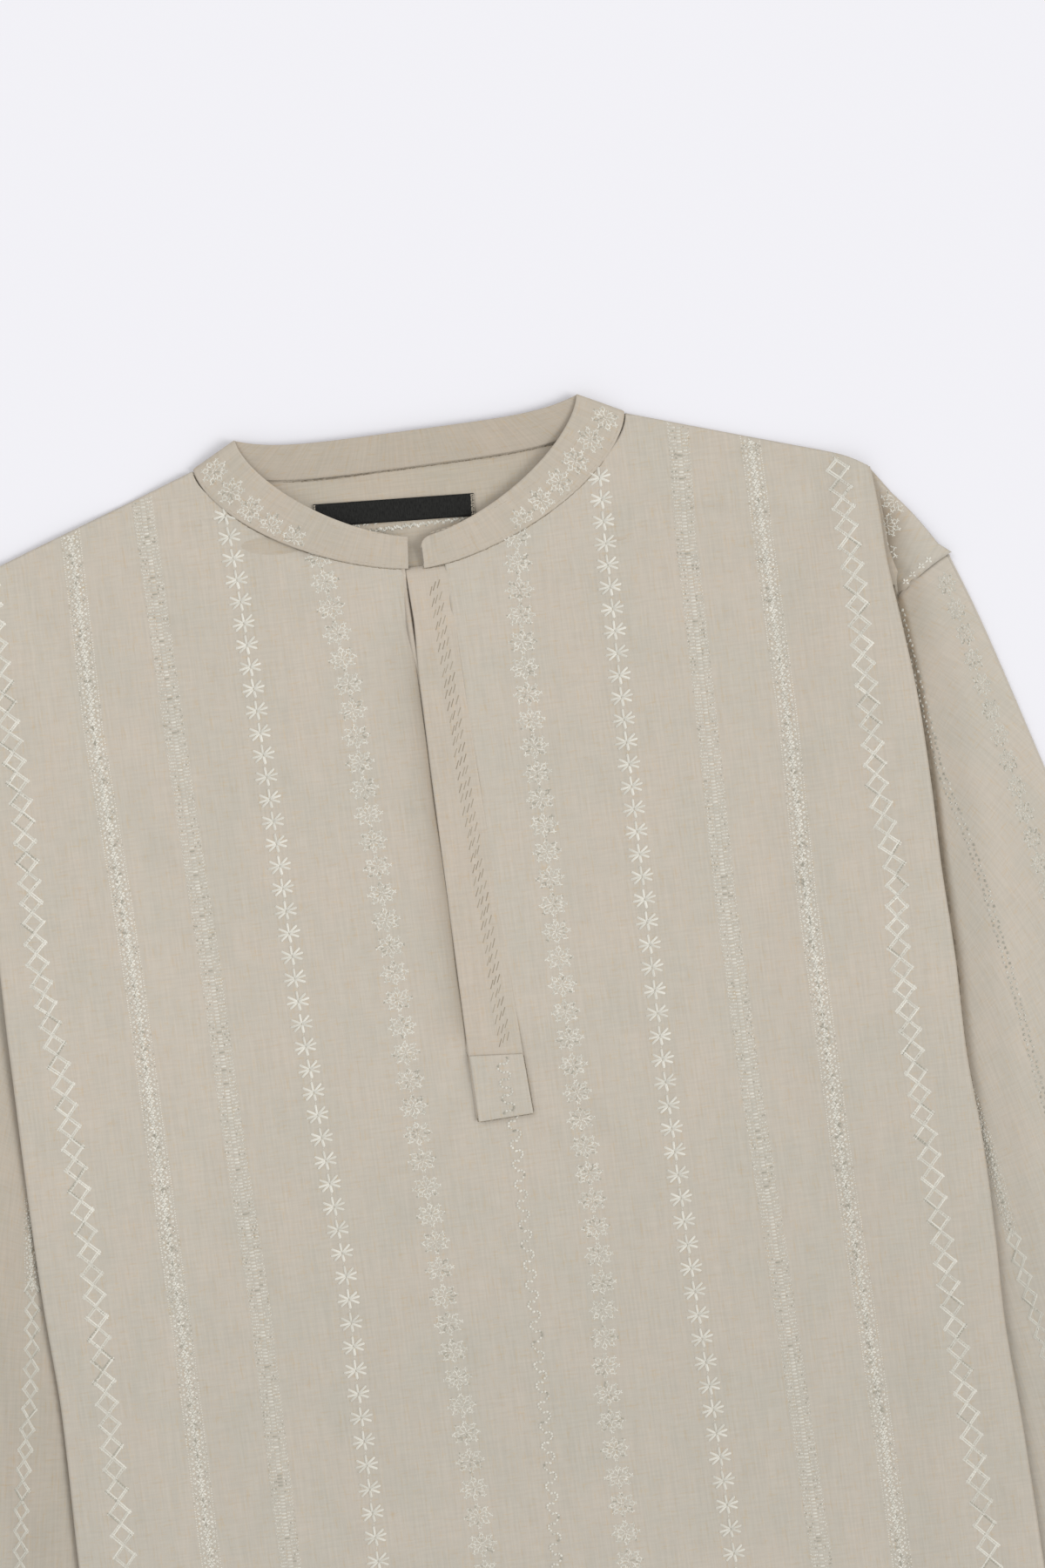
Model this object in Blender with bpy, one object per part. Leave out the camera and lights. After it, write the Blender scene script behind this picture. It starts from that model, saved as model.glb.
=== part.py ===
"""An embroidered pullover shirt with a band collar and a half placket, laid out flat with its front up.

The sides of the front are folded under, and both sleeves are brought down and tucked under the body. Every
piece is a wall of cloth, worked out in millimetres on the shirt: x runs to the wearer's left, y up the shirt from
the middle of the front neck seam, and z up from the table.
"""

import math

import bmesh
import bpy
from mathutils import Vector

MM = 0.001

# Cloth and the levels that its layers lie at, each the middle of a wall.
WALL = 1.1
LAYER_GAP = 0.35
SEAM_GAP = 0.5
LAYER = WALL + LAYER_GAP
FIRST = WALL / 2
SECOND = FIRST + LAYER
THIRD = SECOND + LAYER
FOURTH = THIRD + LAYER

# Body outline.
COLLAR_TOP_Y = 85.0
HEM_Y = -675.0
MIDDLE_Y = (COLLAR_TOP_Y + HEM_Y) / 2
NECK_HALF = 117.0
NECK_SIDE_Y = 72.0
SHOULDER_FALL = 0.333
FOLD_TOP_X = 247.5
FOLD_X = 261.5
FOLD_RUN = 250.0
FOLD_LIFT = 3.3
FOLD_TOP_LIFT = 2.1
FOLD_SETTLE = 90.0
HEM_SETTLE = (-662.0, -612.0)

# Neck seam of the front, cut a little inside the collar that covers it.
FRONT_NECK_HALF = 119.5
FRONT_NECK_DROP = 66.0
FRONT_NECK_POWER = 1.6

# Armhole of the lowered shoulder, from the underarm to the shoulder point.
SHOULDER_POINT = (283.0, -29.0)
UNDERARM = (190.0, -253.0)
ARMHOLE_BOW = 228.0
ARMHOLE_SHARES = (1.0, 0.965, 0.93, 0.895, 0.86, 0.77, 0.66, 0.52, 0.36, 0.18, 0.02)
SLEEVE_EDGE_AT = 4
CAP_BULGE = 3.0

# Rows of the front, as shares of the way from its top edge to the hem. The first eleven meet the armhole.
FRONT_ROWS = (0, 0.015, 0.03, 0.05, 0.07, 0.115, 0.165, 0.22, 0.28, 0.34, 0.3988,
              0.406, 0.46, 0.53, 0.61, 0.70, 0.79, 0.87, 0.93, 0.965, 1.0)
ARMHOLE_ROWS = len(ARMHOLE_SHARES)

# The turned-under side of the front: where its inner edge lies, y then x.
VALLEY_TOP_X = 243.5
SIDE_SEAM = ((-253.0, 185.0), (-262.0, 185.5), (-296.0, 191.5), (-345.0, 223.0), (HEM_Y, 226.0))

# Placket: the opening in the front and the strips over it.
SLIT_LEFT_X = -15.0
SLIT_RIGHT_X = 10.5
SLIT_ROW = 10
PLACKET_TOP_Y = 0.3
BOX_TOP_Y = -267.0
BOX_END_Y = -302.0
PLACKET_LEFT = (-11.0, -12.5)
PLACKET_RIGHT = (11.5, 18.0)
PLACKET_LIFT = 1.5

# Back: the yoke under the neck and the panel below it.
YOKE_NECK_Y = 62.0
YOKE_SEAM_Y = -40.0
BACK_RUN = 30.0

# Sleeves: a row for each section, from the armhole to the hem.
SLEEVE = (
    # outer x, outer y, inner x, inner y, puff
    (283.0, -29.0, 190.0, -253.0, 0.0),
    (293.5, -60.0, 191.5, -262.0, 1.4),
    (303.5, -94.0, 193.0, -273.0, 2.6),
    (319.0, -150.0, 196.0, -292.0, 3.0),
    (334.0, -205.0, 200.0, -315.0, 3.0),
    (347.0, -260.0, 205.0, -342.0, 3.0),
    (359.0, -320.0, 211.0, -375.0, 3.0),
    (368.0, -380.0, 218.0, -412.0, 3.0),
    (376.0, -450.0, 227.0, -462.0, 2.8),
    (382.0, -525.0, 239.0, -530.0, 2.4),
    (385.0, -596.0, 252.0, -605.0, 1.6),
)
SLEEVE_BOW_SECTIONS = 4

# Collar band: its seam edge and its free edge.
BAND_FREE_HALF = 94.0
BAND_FREE_Y = COLLAR_TOP_Y - 0.48
BAND_SEAM_DROP = 70.0
BAND_SEAM_POWER = 1.6
BAND_FREE_DROP = 65.5
BAND_FREE_POWER = 1.4
BAND_BACK_SEAM_Y = 58.0
BAND_BACK_FREE_Y = 77.5
BAND_FRONT_RISE = 2.6
BAND_BACK_RISE = 2.4
BAND_LEFT_END = -9.5
BAND_RIGHT_END = -1.0
BAND_CORNER = 6.0

# Neck label, sewn to the yoke.
LABEL_CENTRE = (-13.0, 35.6)
LABEL_SIZE = (88.0, 12.5)
LABEL_TILT = math.radians(-3.6)

LINEN = (0.60, 0.52, 0.42)
WOVEN_BLACK = (0.02, 0.02, 0.022)
ROUGHNESS = 0.85


def clear_scene():
    for thing in list(bpy.data.objects):
        bpy.data.objects.remove(thing)


def finish(name, colour):
    material = bpy.data.materials.new(name)
    material.use_nodes = True
    shader = material.node_tree.nodes["Principled BSDF"]
    shader.inputs["Base Color"].default_value = (*colour, 1.0)
    shader.inputs["Roughness"].default_value = ROUGHNESS
    shader.inputs["Metallic"].default_value = 0.0
    return material


def smooth(t):
    t = min(max(t, 0.0), 1.0)
    return t * t * (3 - 2 * t)


def mix(a, b, t):
    return a + (b - a) * t


def from_table(table, y):
    """The x at this y in a table of (y, x) rows that runs down the shirt."""
    for (y0, x0), (y1, x1) in zip(table, table[1:]):
        if y >= y1:
            return mix(x0, x1, min(max((y - y0) / (y1 - y0), 0.0), 1.0))
    return table[-1][1]


def round_curve(x, half, top, drop, power):
    """The y of a neck curve that is half wide each way and drops from top at its sides."""
    share = min(abs(x) / half, 1.0)
    return top - drop * (1 - share**power) ** (1 / power)


def wall_of_cloth(name, rows, colour=LINEN, kept=None, ring=False):
    """A wall whose middle passes through a grid of points, less the quads that kept refuses."""
    shape = bmesh.new()
    points = [[shape.verts.new(((x * MM), (y - MIDDLE_Y) * MM, z * MM)) for x, y, z in row] for row in rows]
    across = len(rows[0])
    for j in range(len(rows) - 1):
        for i in range(across if ring else across - 1):
            if kept and not kept(i, j):
                continue
            after = (i + 1) % across
            a, b = points[j][i], points[j][after]
            c, d = points[j + 1][after], points[j + 1][i]
            shape.faces.new((a, b, c))
            shape.faces.new((a, c, d))
    bmesh.ops.delete(shape, geom=[v for v in shape.verts if not v.link_faces], context="VERTS")
    mesh = bpy.data.meshes.new(name)
    shape.to_mesh(mesh)
    shape.free()
    mesh.materials.append(finish(name, colour))
    thing = bpy.data.objects.new(name, mesh)
    bpy.context.scene.collection.objects.link(thing)
    wall = thing.modifiers.new("Wall", "SOLIDIFY")
    wall.thickness = WALL * MM
    wall.offset = 0.0
    wall.use_even_offset = True
    return thing


def shoulder_y(x):
    return NECK_SIDE_Y - SHOULDER_FALL * (abs(x) - NECK_HALF)


def front_top_y(x):
    if abs(x) >= FRONT_NECK_HALF:
        return shoulder_y(x)
    top = shoulder_y(FRONT_NECK_HALF)
    return round_curve(x, FRONT_NECK_HALF, top, FRONT_NECK_DROP, FRONT_NECK_POWER)


def fold_x(y):
    """Where the front turns under at its side."""
    down = min(max((shoulder_y(FOLD_TOP_X) - y) / FOLD_RUN, 0.0), 1.0)
    return FOLD_TOP_X + (FOLD_X - FOLD_TOP_X) * (1 - (1 - down) ** 1.5)


def over_sleeve(y):
    """1 where the sleeves lie under the body, falling to 0 at the hem."""
    return smooth((y - HEM_SETTLE[0]) / (HEM_SETTLE[1] - HEM_SETTLE[0]))


def turned_level(y):
    return FIRST + (THIRD - FIRST) * over_sleeve(y)


def turned_inner_x(y):
    """The inner edge of the turned-under side: a valley above the underarm and the side seam below it."""
    top_y = shoulder_y(FOLD_TOP_X)
    if y >= UNDERARM[1]:
        return mix(VALLEY_TOP_X, SIDE_SEAM[0][1], (top_y - y) / (top_y - UNDERARM[1]))
    return from_table(SIDE_SEAM, y) + SEAM_GAP


def fold_lift(y):
    """How far the front stands over its turned-under side at the fold."""
    down = (shoulder_y(FOLD_TOP_X) - y) / FOLD_SETTLE
    return mix(FOLD_TOP_LIFT, FOLD_LIFT, smooth(down))


def sleeve_inner_x(y):
    return from_table([(section[3], section[2]) for section in SLEEVE], y)


def rise_x(y):
    """Where the body has risen over what lies under its sides."""
    if y >= UNDERARM[1]:
        return turned_inner_x(y)
    return min(sleeve_inner_x(y), turned_inner_x(y))


def front_run(y):
    """The width of the slope of the front up to there."""
    return mix(22.0, 44.0, smooth((shoulder_y(FOLD_TOP_X) - y) / FOLD_SETTLE))


def front_level(x, y):
    """The level of the top layer of the front, which rises over what is folded under its sides."""
    reach, rise, fold, run = abs(x), rise_x(y), fold_x(y), front_run(y)
    over_turned = turned_level(y) + LAYER + 0.2
    level = SECOND + (over_turned - SECOND) * smooth((reach - rise + run) / (run - 5.0))
    edge = turned_level(y) + fold_lift(y)
    return level + (edge - over_turned) * smooth((reach - rise) / (fold - rise))


def armhole(share):
    """A point of the armhole seam, from 0 at the underarm to 1 at the shoulder point."""
    along = Vector(SHOULDER_POINT) - Vector(UNDERARM)
    inward = Vector((-along.y, along.x)).normalized()
    return Vector(UNDERARM) + along * share + inward * (ARMHOLE_BOW * share**3 * (1 - share))


def front_half(j):
    """Half of row j of the front: its top layer, the fold, the turned-under side and the shoulder cap."""
    down = FRONT_ROWS[j]
    side_y = mix(shoulder_y(FOLD_TOP_X), HEM_Y, down)
    fold, inner, under = fold_x(side_y), turned_inner_x(side_y), turned_level(side_y)
    radius = fold_lift(side_y) / 2
    columns = [24.0, 38.0, 53.0, 68.0, 82.0, 94.0, 104.0, 112.0, 117.0, FRONT_NECK_HALF]
    outer = fold - radius
    foot, head = rise_x(side_y) - front_run(side_y), rise_x(side_y) - 2.0
    columns += [mix(FRONT_NECK_HALF, foot, share) for share in (0.5, 1.0)]
    columns += [mix(foot, head, share) for share in (0.33, 0.66, 1.0)]
    columns += [mix(head, outer, share) for share in (0.5, 1.0)]
    half = []
    for x in columns:
        y = mix(front_top_y(x), HEM_Y, down)
        half.append((x, y, front_level(x, y)))
    for turn in (45, 90, 135, 180):
        angle = math.radians(turn)
        half.append((outer + radius * math.sin(angle), side_y, under + radius * (1 + math.cos(angle))))
    half.append((mix(outer, inner, 0.5), side_y, under))
    half.append((inner, side_y, under))
    half.append((inner, side_y, SECOND))
    seam = armhole(ARMHOLE_SHARES[min(j, ARMHOLE_ROWS - 1)])
    bulge = CAP_BULGE * max(1 - j / SLEEVE_EDGE_AT, 0.0)
    for share in (0.25, 0.5, 0.75, 1.0):
        out = bulge * math.sin(math.pi * share)
        half.append((mix(inner, seam.x, share) + out, mix(side_y, seam.y, share) + out, SECOND))
    return half


def make_front():
    rows = []
    for j, down in enumerate(FRONT_ROWS):
        half = front_half(j)
        middle = [(x, mix(front_top_y(x), HEM_Y, down), SECOND) for x in (SLIT_LEFT_X, SLIT_RIGHT_X)]
        rows.append([(-x, y, z) for x, y, z in reversed(half)] + middle + half)
    last = len(rows[0]) - 1
    cap = 5
    slit = len(rows[0]) // 2 - 1

    def kept(i, j):
        in_cap = min(i, last - 1 - i) < cap
        in_slit = i == slit and j < SLIT_ROW
        return not in_slit and not (in_cap and j >= ARMHOLE_ROWS - 1)

    return wall_of_cloth("front_panel", rows, kept=kept)


def yoke_top_y(x):
    if abs(x) >= FRONT_NECK_HALF:
        return shoulder_y(x)
    top = shoulder_y(FRONT_NECK_HALF)
    return mix(YOKE_NECK_Y, top, (abs(x) / FRONT_NECK_HALF) ** 3)


def yoke_seam_y(x):
    """The yoke seam, level across the back and dropping to the armhole at its ends."""
    end = armhole(ARMHOLE_SHARES[SLEEVE_EDGE_AT])
    return mix(YOKE_SEAM_Y, end.y, min(abs(x) / end.x, 1.0) ** 4)


def make_yoke():
    columns = (0.0, 30.0, 60.0, 85.0, 105.0, FRONT_NECK_HALF, 150.0, 190.0, 225.0, FOLD_TOP_X)
    rows = []
    for k in range(SLEEVE_EDGE_AT + 1):
        down = k / SLEEVE_EDGE_AT
        half = [(x, mix(yoke_top_y(x), yoke_seam_y(x), down), FIRST) for x in columns]
        end, seam = half[-1], armhole(ARMHOLE_SHARES[k])
        half += [(mix(end[0], seam.x, share), mix(end[1], seam.y, share), FIRST) for share in (0.5, 1.0)]
        rows.append([(-x, y, z) for x, y, z in reversed(half[1:])] + half)
    return wall_of_cloth("back_yoke", rows)


def back_level(x, y):
    """The back lies on the table, and rises over the inner part of each sleeve."""
    start = rise_x(y) - BACK_RUN
    below_underarm = smooth((UNDERARM[1] - y) / 22.0)
    rise = smooth((abs(x) - start) / (BACK_RUN - 3.0)) * below_underarm * over_sleeve(y)
    return FIRST + (THIRD - FIRST) * rise


def make_back():
    edge = [tuple(armhole(share)) for share in ARMHOLE_SHARES[SLEEVE_EDGE_AT:]]
    edge[0] = (edge[0][0], edge[0][1] - SEAM_GAP)
    edge += [(from_table(SIDE_SEAM, y), y) for y in (-256.0, -266.0, -275.0, -296.0, -320.0, -345.0, -395.0)]
    edge += [(from_table(SIDE_SEAM, y), y) for y in (-450.0, -505.0, -560.0, -610.0, -628.0, -645.0, HEM_Y)]
    rows = []
    for k, (edge_x, edge_y) in enumerate(edge):
        foot = min(rise_x(edge_y), edge_x) - BACK_RUN
        columns = [foot * share for share in (0.0, 0.35, 0.7, 1.0)]
        columns += [mix(foot, edge_x, share) for share in (0.25, 0.5, 0.75, 1.0)]
        half = []
        for x in columns:
            y = yoke_seam_y(x) - SEAM_GAP if k == 0 else edge_y
            half.append((x, y, back_level(x, y)))
        rows.append([(-x, y, z) for x, y, z in reversed(half[1:])] + half)
    return wall_of_cloth("back_panel", rows)


def sleeve_point(section, share, bow):
    outer_x, outer_y, inner_x, inner_y, _ = section
    point = Vector((mix(inner_x, outer_x, share), mix(inner_y, outer_y, share)))
    along = Vector(SHOULDER_POINT) - Vector(UNDERARM)
    inward = Vector((-along.y, along.x)).normalized()
    return point + inward * (bow * ARMHOLE_BOW * share**3 * (1 - share))


def share_at_fold(section, bow):
    """How far across a section the side fold of the body crosses it."""
    steps = 200
    for step in range(steps + 1):
        point = sleeve_point(section, step / steps, bow)
        if point.x > fold_x(point.y) + 3.0:
            return step / steps
    return 1.0


def sleeve_ring(k):
    """One section of the sleeve, all round: its under layer going out and its upper layer coming back."""
    section, bow = SLEEVE[k], max(1 - k / SLEEVE_BOW_SECTIONS, 0.0)
    shares = [0.0, *reversed(ARMHOLE_SHARES[:-1])]
    bare = len(shares) - 1 - SLEEVE_EDGE_AT
    if k:
        edge = share_at_fold(section, bow)
        outside = len(shares) - 1 - bare
        shares = [edge * i / bare for i in range(bare)]
        shares += [mix(edge, 1.0, i / outside) for i in range(outside + 1)]
    down = Vector((SHOULDER_POINT[1] - UNDERARM[1], UNDERARM[0] - SHOULDER_POINT[0])).normalized() * SEAM_GAP
    places = [sleeve_point(section, share, bow) + (Vector((0, 0)) if k else down) for share in shares]
    half_way = (FIRST + SECOND) / 2
    under = [(p.x, p.y, FIRST) for p in places]
    over = []
    for i, p in enumerate(places):
        open_share = max((shares[i] - shares[bare]) / (1 - shares[bare]), 0.0)
        over.append((p.x, p.y, SECOND + section[4] * math.sin(math.pi * open_share) ** 0.8))
    inner = (places[0].x - LAYER / 2, places[0].y, half_way)
    outer = (places[-1].x + LAYER / 2, places[-1].y + LAYER / 6, half_way)
    return [inner, *under, outer, *reversed(over)]


def make_sleeve(name, side):
    rows = [[(side * x, y, z) for x, y, z in sleeve_ring(k)] for k in range(len(SLEEVE))]
    return wall_of_cloth(name, rows, ring=True)


def band_front(share, side):
    """The seam point and the free point of the band's front, share of the way from the middle to the side."""
    seam_x, free_x = NECK_HALF * share, BAND_FREE_HALF * share
    seam_y = round_curve(seam_x, NECK_HALF, NECK_SIDE_Y, BAND_SEAM_DROP, BAND_SEAM_POWER)
    free_y = round_curve(free_x, BAND_FREE_HALF, BAND_FREE_Y, BAND_FREE_DROP, BAND_FREE_POWER)
    return (side * seam_x, seam_y, THIRD), (side * free_x, free_y, THIRD + BAND_FRONT_RISE)


def band_back(share):
    """The same for the back of the band, from -1 at the right side to 1 at the left one."""
    reach = abs(share)
    seam_y = mix(BAND_BACK_SEAM_Y, NECK_SIDE_Y, reach**4)
    free_y = mix(BAND_BACK_FREE_Y, BAND_FREE_Y, reach**5)
    return (NECK_HALF * share, seam_y, SECOND), (BAND_FREE_HALF * share, free_y, SECOND + BAND_BACK_RISE)


def make_collar():
    front_shares = (0.2, 0.32, 0.44, 0.55, 0.65, 0.74, 0.82, 0.89, 0.945, 0.985)
    back_shares = (0.985, 0.93, 0.84, 0.72, 0.55, 0.3)
    ends = [-BAND_LEFT_END / NECK_HALF, (-BAND_LEFT_END + 5.0) / NECK_HALF]
    stations = [band_front(share, -1) for share in (*ends, *front_shares)]
    stations += [band_front(1.0, -1), band_back(-1.0)]
    stations += [band_back(-share) for share in back_shares] + [band_back(0.0)]
    stations += [band_back(share) for share in reversed(back_shares)]
    stations += [band_back(1.0), band_front(1.0, 1)]
    stations += [band_front(share, 1) for share in reversed((0.055, 0.1, *front_shares))]
    rounded_y = stations[-1][1][1]
    for x, drop in ((1.5, 0.35), (BAND_RIGHT_END, 1.0)):
        seam, _ = band_front(abs(x) / NECK_HALF, 1)
        free = (x, rounded_y - BAND_CORNER * drop, THIRD + BAND_FRONT_RISE * 0.7)
        stations.append(((x, seam[1], THIRD), free))
    rows = []
    for seam, free in stations:
        rows.append([tuple(mix(a, b, share) for a, b in zip(seam, free)) for share in (0, 0.5, 1)])
    return wall_of_cloth("collar_band", rows)


def make_placket_over():
    """The upper strip, sewn down its right side, with its free left edge a little raised near the top."""
    rows = []
    lines = 13
    for j in range(lines):
        y = mix(PLACKET_TOP_Y, BOX_END_Y + 2.0, j / (lines - 1))
        down = (PLACKET_TOP_Y - y) / (PLACKET_TOP_Y - BOX_TOP_Y)
        left = mix(*PLACKET_LEFT, min(down, 1.0))
        right = mix(*PLACKET_RIGHT, min(down, 1.0)) - 1.0
        raised = PLACKET_LIFT * smooth(down / 0.06) * smooth((0.45 - down) / 0.4)
        shares = (0, 0.25, 0.5, 0.75, 1)
        rows.append([(mix(left, right, share), y, THIRD + raised * (1 - share) ** 2) for share in shares])
    return wall_of_cloth("placket_over", rows)


def flat_patch(name, corners, level, colour=LINEN):
    """A flat patch between its top left, top right, bottom left and bottom right corners."""
    top_left, top_right, bottom_left, bottom_right = corners
    rows = []
    for down in (0.0, 0.5, 1.0):
        left = [mix(a, b, down) for a, b in zip(top_left, bottom_left)]
        right = [mix(a, b, down) for a, b in zip(top_right, bottom_right)]
        places = [[mix(a, b, share) for a, b in zip(left, right)] for share in (0, 0.5, 1)]
        rows.append([(x, y, level) for x, y in places])
    return wall_of_cloth(name, rows, colour)


def make_placket_under():
    left, right = SLIT_LEFT_X + SEAM_GAP, SLIT_RIGHT_X - SEAM_GAP
    end_y = mix(front_top_y(SLIT_LEFT_X), HEM_Y, FRONT_ROWS[SLIT_ROW]) + 2 * SEAM_GAP
    corners = ((left, 5.0), (right, 5.0), (left, end_y), (right, end_y))
    return flat_patch("placket_under", corners, SECOND)


def make_placket_box():
    left, right = PLACKET_LEFT[1], PLACKET_RIGHT[1]
    top = ((left, BOX_TOP_Y), (right - 1.5, BOX_TOP_Y + 1.5))
    bottom = ((left + 0.4, BOX_END_Y), (right + 0.4, BOX_END_Y + 1.5))
    corners = (*top, *bottom)
    return flat_patch("placket_box", corners, FOURTH)


def make_label():
    wide, tall = LABEL_SIZE[0] / 2, LABEL_SIZE[1] / 2
    cos, sin = math.cos(LABEL_TILT), math.sin(LABEL_TILT)
    corners = []
    for x, y in ((-wide, tall), (wide, tall), (-wide, -tall), (wide, -tall)):
        corners.append((LABEL_CENTRE[0] + x * cos - y * sin, LABEL_CENTRE[1] + x * sin + y * cos))
    return flat_patch("neck_label", corners, SECOND, WOVEN_BLACK)


def main():
    clear_scene()
    make_yoke()
    make_back()
    make_front()
    make_sleeve("sleeve_left", 1)
    make_sleeve("sleeve_right", -1)
    make_collar()
    make_placket_under()
    make_placket_over()
    make_placket_box()
    make_label()


main()
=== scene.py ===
"""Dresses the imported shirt: thin linen walls over its solids, with folds, seams and embroidered stripes.

Lengths are in millimetres on the shirt, as in its source: x to the wearer's left, y up from the middle of the
front neck seam, and z up from the table.
"""

import itertools
import math

import bpy
import numpy as np
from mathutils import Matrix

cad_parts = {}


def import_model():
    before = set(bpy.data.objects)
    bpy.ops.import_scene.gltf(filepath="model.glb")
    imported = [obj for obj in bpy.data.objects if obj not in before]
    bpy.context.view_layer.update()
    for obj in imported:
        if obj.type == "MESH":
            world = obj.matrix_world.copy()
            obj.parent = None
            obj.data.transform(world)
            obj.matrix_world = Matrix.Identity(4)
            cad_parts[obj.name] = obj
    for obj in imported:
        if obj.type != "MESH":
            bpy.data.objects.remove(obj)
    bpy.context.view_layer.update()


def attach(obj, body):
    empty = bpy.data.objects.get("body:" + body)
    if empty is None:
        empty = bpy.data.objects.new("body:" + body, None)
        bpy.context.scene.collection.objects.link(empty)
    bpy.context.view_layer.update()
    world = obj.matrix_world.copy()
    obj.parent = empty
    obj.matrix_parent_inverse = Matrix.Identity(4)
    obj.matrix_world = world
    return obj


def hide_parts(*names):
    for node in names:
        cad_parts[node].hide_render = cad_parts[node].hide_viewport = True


MM = 0.001

# Levels of the solids' layers.
WALL = 1.1
LAYER = 1.45
FIRST = WALL / 2
SECOND = FIRST + LAYER
THIRD = SECOND + LAYER

# Body outline.
COLLAR_TOP_Y = 85.0
HEM_Y = -675.0
MIDDLE_Y = (COLLAR_TOP_Y + HEM_Y) / 2
NECK_HALF = 117.0
NECK_SIDE_Y = 72.0
SHOULDER_FALL = 0.333
SHOULDER_ROUND_X = 226.0
SHOULDER_ROUND_RUN = 21.5
SHOULDER_ROUND_DROP = 4.2
FOLD_TOP_X = 247.5
FOLD_X = 261.5
FOLD_RUN = 250.0
FOLD_POWER = 1.5
FOLD_LIFT = 3.3
FOLD_TOP_LIFT = 2.1
FOLD_SETTLE = 90.0
HEM_SETTLE = (-662.0, -612.0)
FRONT_NECK_HALF = 119.5
FRONT_NECK_DROP = 66.0
FRONT_NECK_POWER = 1.6
FRONT_SEAM_ALLOWANCE = 3.2
FRONT_RISE_RUN = (22.0, 44.0)
FRONT_CLEARANCE = 0.2

# Armhole, turned side and back.
SHOULDER_POINT = np.array((283.0, -29.0))
UNDERARM = np.array((190.0, -253.0))
ARMHOLE_BOW = 228.0
ARMHOLE_END = 0.3988
ARMHOLE_DOWN = (0, 0.015, 0.03, 0.05, 0.07, 0.115, 0.165, 0.22, 0.28, 0.34, ARMHOLE_END)
ARMHOLE_SHARES = (1.0, 0.965, 0.93, 0.895, 0.86, 0.77, 0.66, 0.52, 0.36, 0.18, 0.02)
SLEEVE_EDGE_SHARE = 0.86
VALLEY_TOP_X = 243.5
SIDE_SEAM = ((-253.0, 185.0), (-262.0, 185.5), (-296.0, 191.5), (-345.0, 223.0), (HEM_Y, 226.0))
YOKE_NECK_Y = 62.0
YOKE_SEAM_Y = -40.0
BACK_RUN = 30.0

# The wandering of the wearer's left and right folds: y and the step outwards.
LEFT_FOLD_WANDER = (
    (40, 0), (0, 0), (-25, -1.5), (-60, -0.8), (-100, 0.0), (-150, -1.6), (-200, -4.0), (-250, -3.6),
    (-300, -4.4), (-345, -2.2), (-400, -2.2), (-450, -3.4), (-490, -1.8), (-550, -0.4), (-690, 0))
RIGHT_FOLD_WANDER = (
    (40, 0), (-100, 0), (-200, -0.8), (-375, -0.9), (-425, -2.8), (-455, -2.4), (-500, -1.2), (-690, 0))

# Placket: the slit, the upper strip's left edge as y and x, its right edge's two ends, and the box's corners.
SLIT_LEFT_X = -12.6
SLIT_RIGHT_X = 10.5
SLIT_END_Y = -266.0
PLACKET_TOP_Y = 0.3
BOX_TOP_Y = -267.0
BOX_END_Y = -302.0
PLACKET_LEFT = (
    (3.3, -11.3), (-12, -10.8), (-26, -10.3), (-38, -10.9), (-55, -11.7), (-90, -12.1), (-150, -12.4),
    (-302, -12.9))
PLACKET_RIGHT = (11.5, 18.0)
PLACKET_LIFT = 1.3
PLACKET_TUCK = 1.45
BOX_CORNERS = ((-12.3, -265.4), (16.9, -268.0), (-11.9, -301.8), (18.3, -301.0))
BOX_LIFT = 0.95

# Sleeve sections: outer x and y, inner x and y, and the puff between the body and the outer edge.
SLEEVE = np.array((
    (283.0, -29.0, 190.0, -253.0, 1.8),
    (293.5, -60.0, 191.5, -262.0, 3.2),
    (303.5, -94.0, 193.0, -273.0, 3.2),
    (319.0, -150.0, 196.0, -292.0, 3.0),
    (334.0, -205.0, 200.0, -315.0, 3.0),
    (347.0, -260.0, 205.0, -342.0, 3.0),
    (359.0, -320.0, 211.0, -375.0, 3.0),
    (368.0, -380.0, 218.0, -412.0, 3.0),
    (376.0, -450.0, 227.0, -462.0, 2.8),
    (382.0, -525.0, 239.0, -530.0, 2.4),
    (385.0, -596.0, 252.0, -605.0, 1.6),
))
SLEEVE_BOW_SECTIONS = 4

# Collar band.
BAND_FREE_HALF = 94.0
BAND_FREE_Y = COLLAR_TOP_Y - 0.48
BAND_SEAM_DROP = 70.0
BAND_SEAM_POWER = 1.6
BAND_FREE_DROP = 65.5
BAND_FREE_POWER = 1.5
BAND_BACK_SEAM_Y = 58.0
BAND_BACK_FREE_Y = 77.5
BAND_FRONT_RISE = 2.6
BAND_BACK_RISE = 2.4
BAND_LEFT_END = -9.5
BAND_RIGHT_END = -1.0
BAND_CORNER = 6.0
BAND_SEAM_Z = 3.05
BAND_REACH = 118.8
BAND_CROWN = 0.35
BAND_WIDTH = 20.0

# Label.
LABEL_CENTRE = (-13.0, 35.6)
LABEL_SIZE = (88.0, 12.5)
LABEL_TILT = math.radians(-3.6)

# Cloth as it is seen: its thickness, that of a doubled strip and its turned edge, and the label's tape.
CLOTH = 0.45
DOUBLED = 1.15
TURNED_RADIUS = 0.7
TAPE = 0.5
YARN = 0.55
RIB = 0.45

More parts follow.
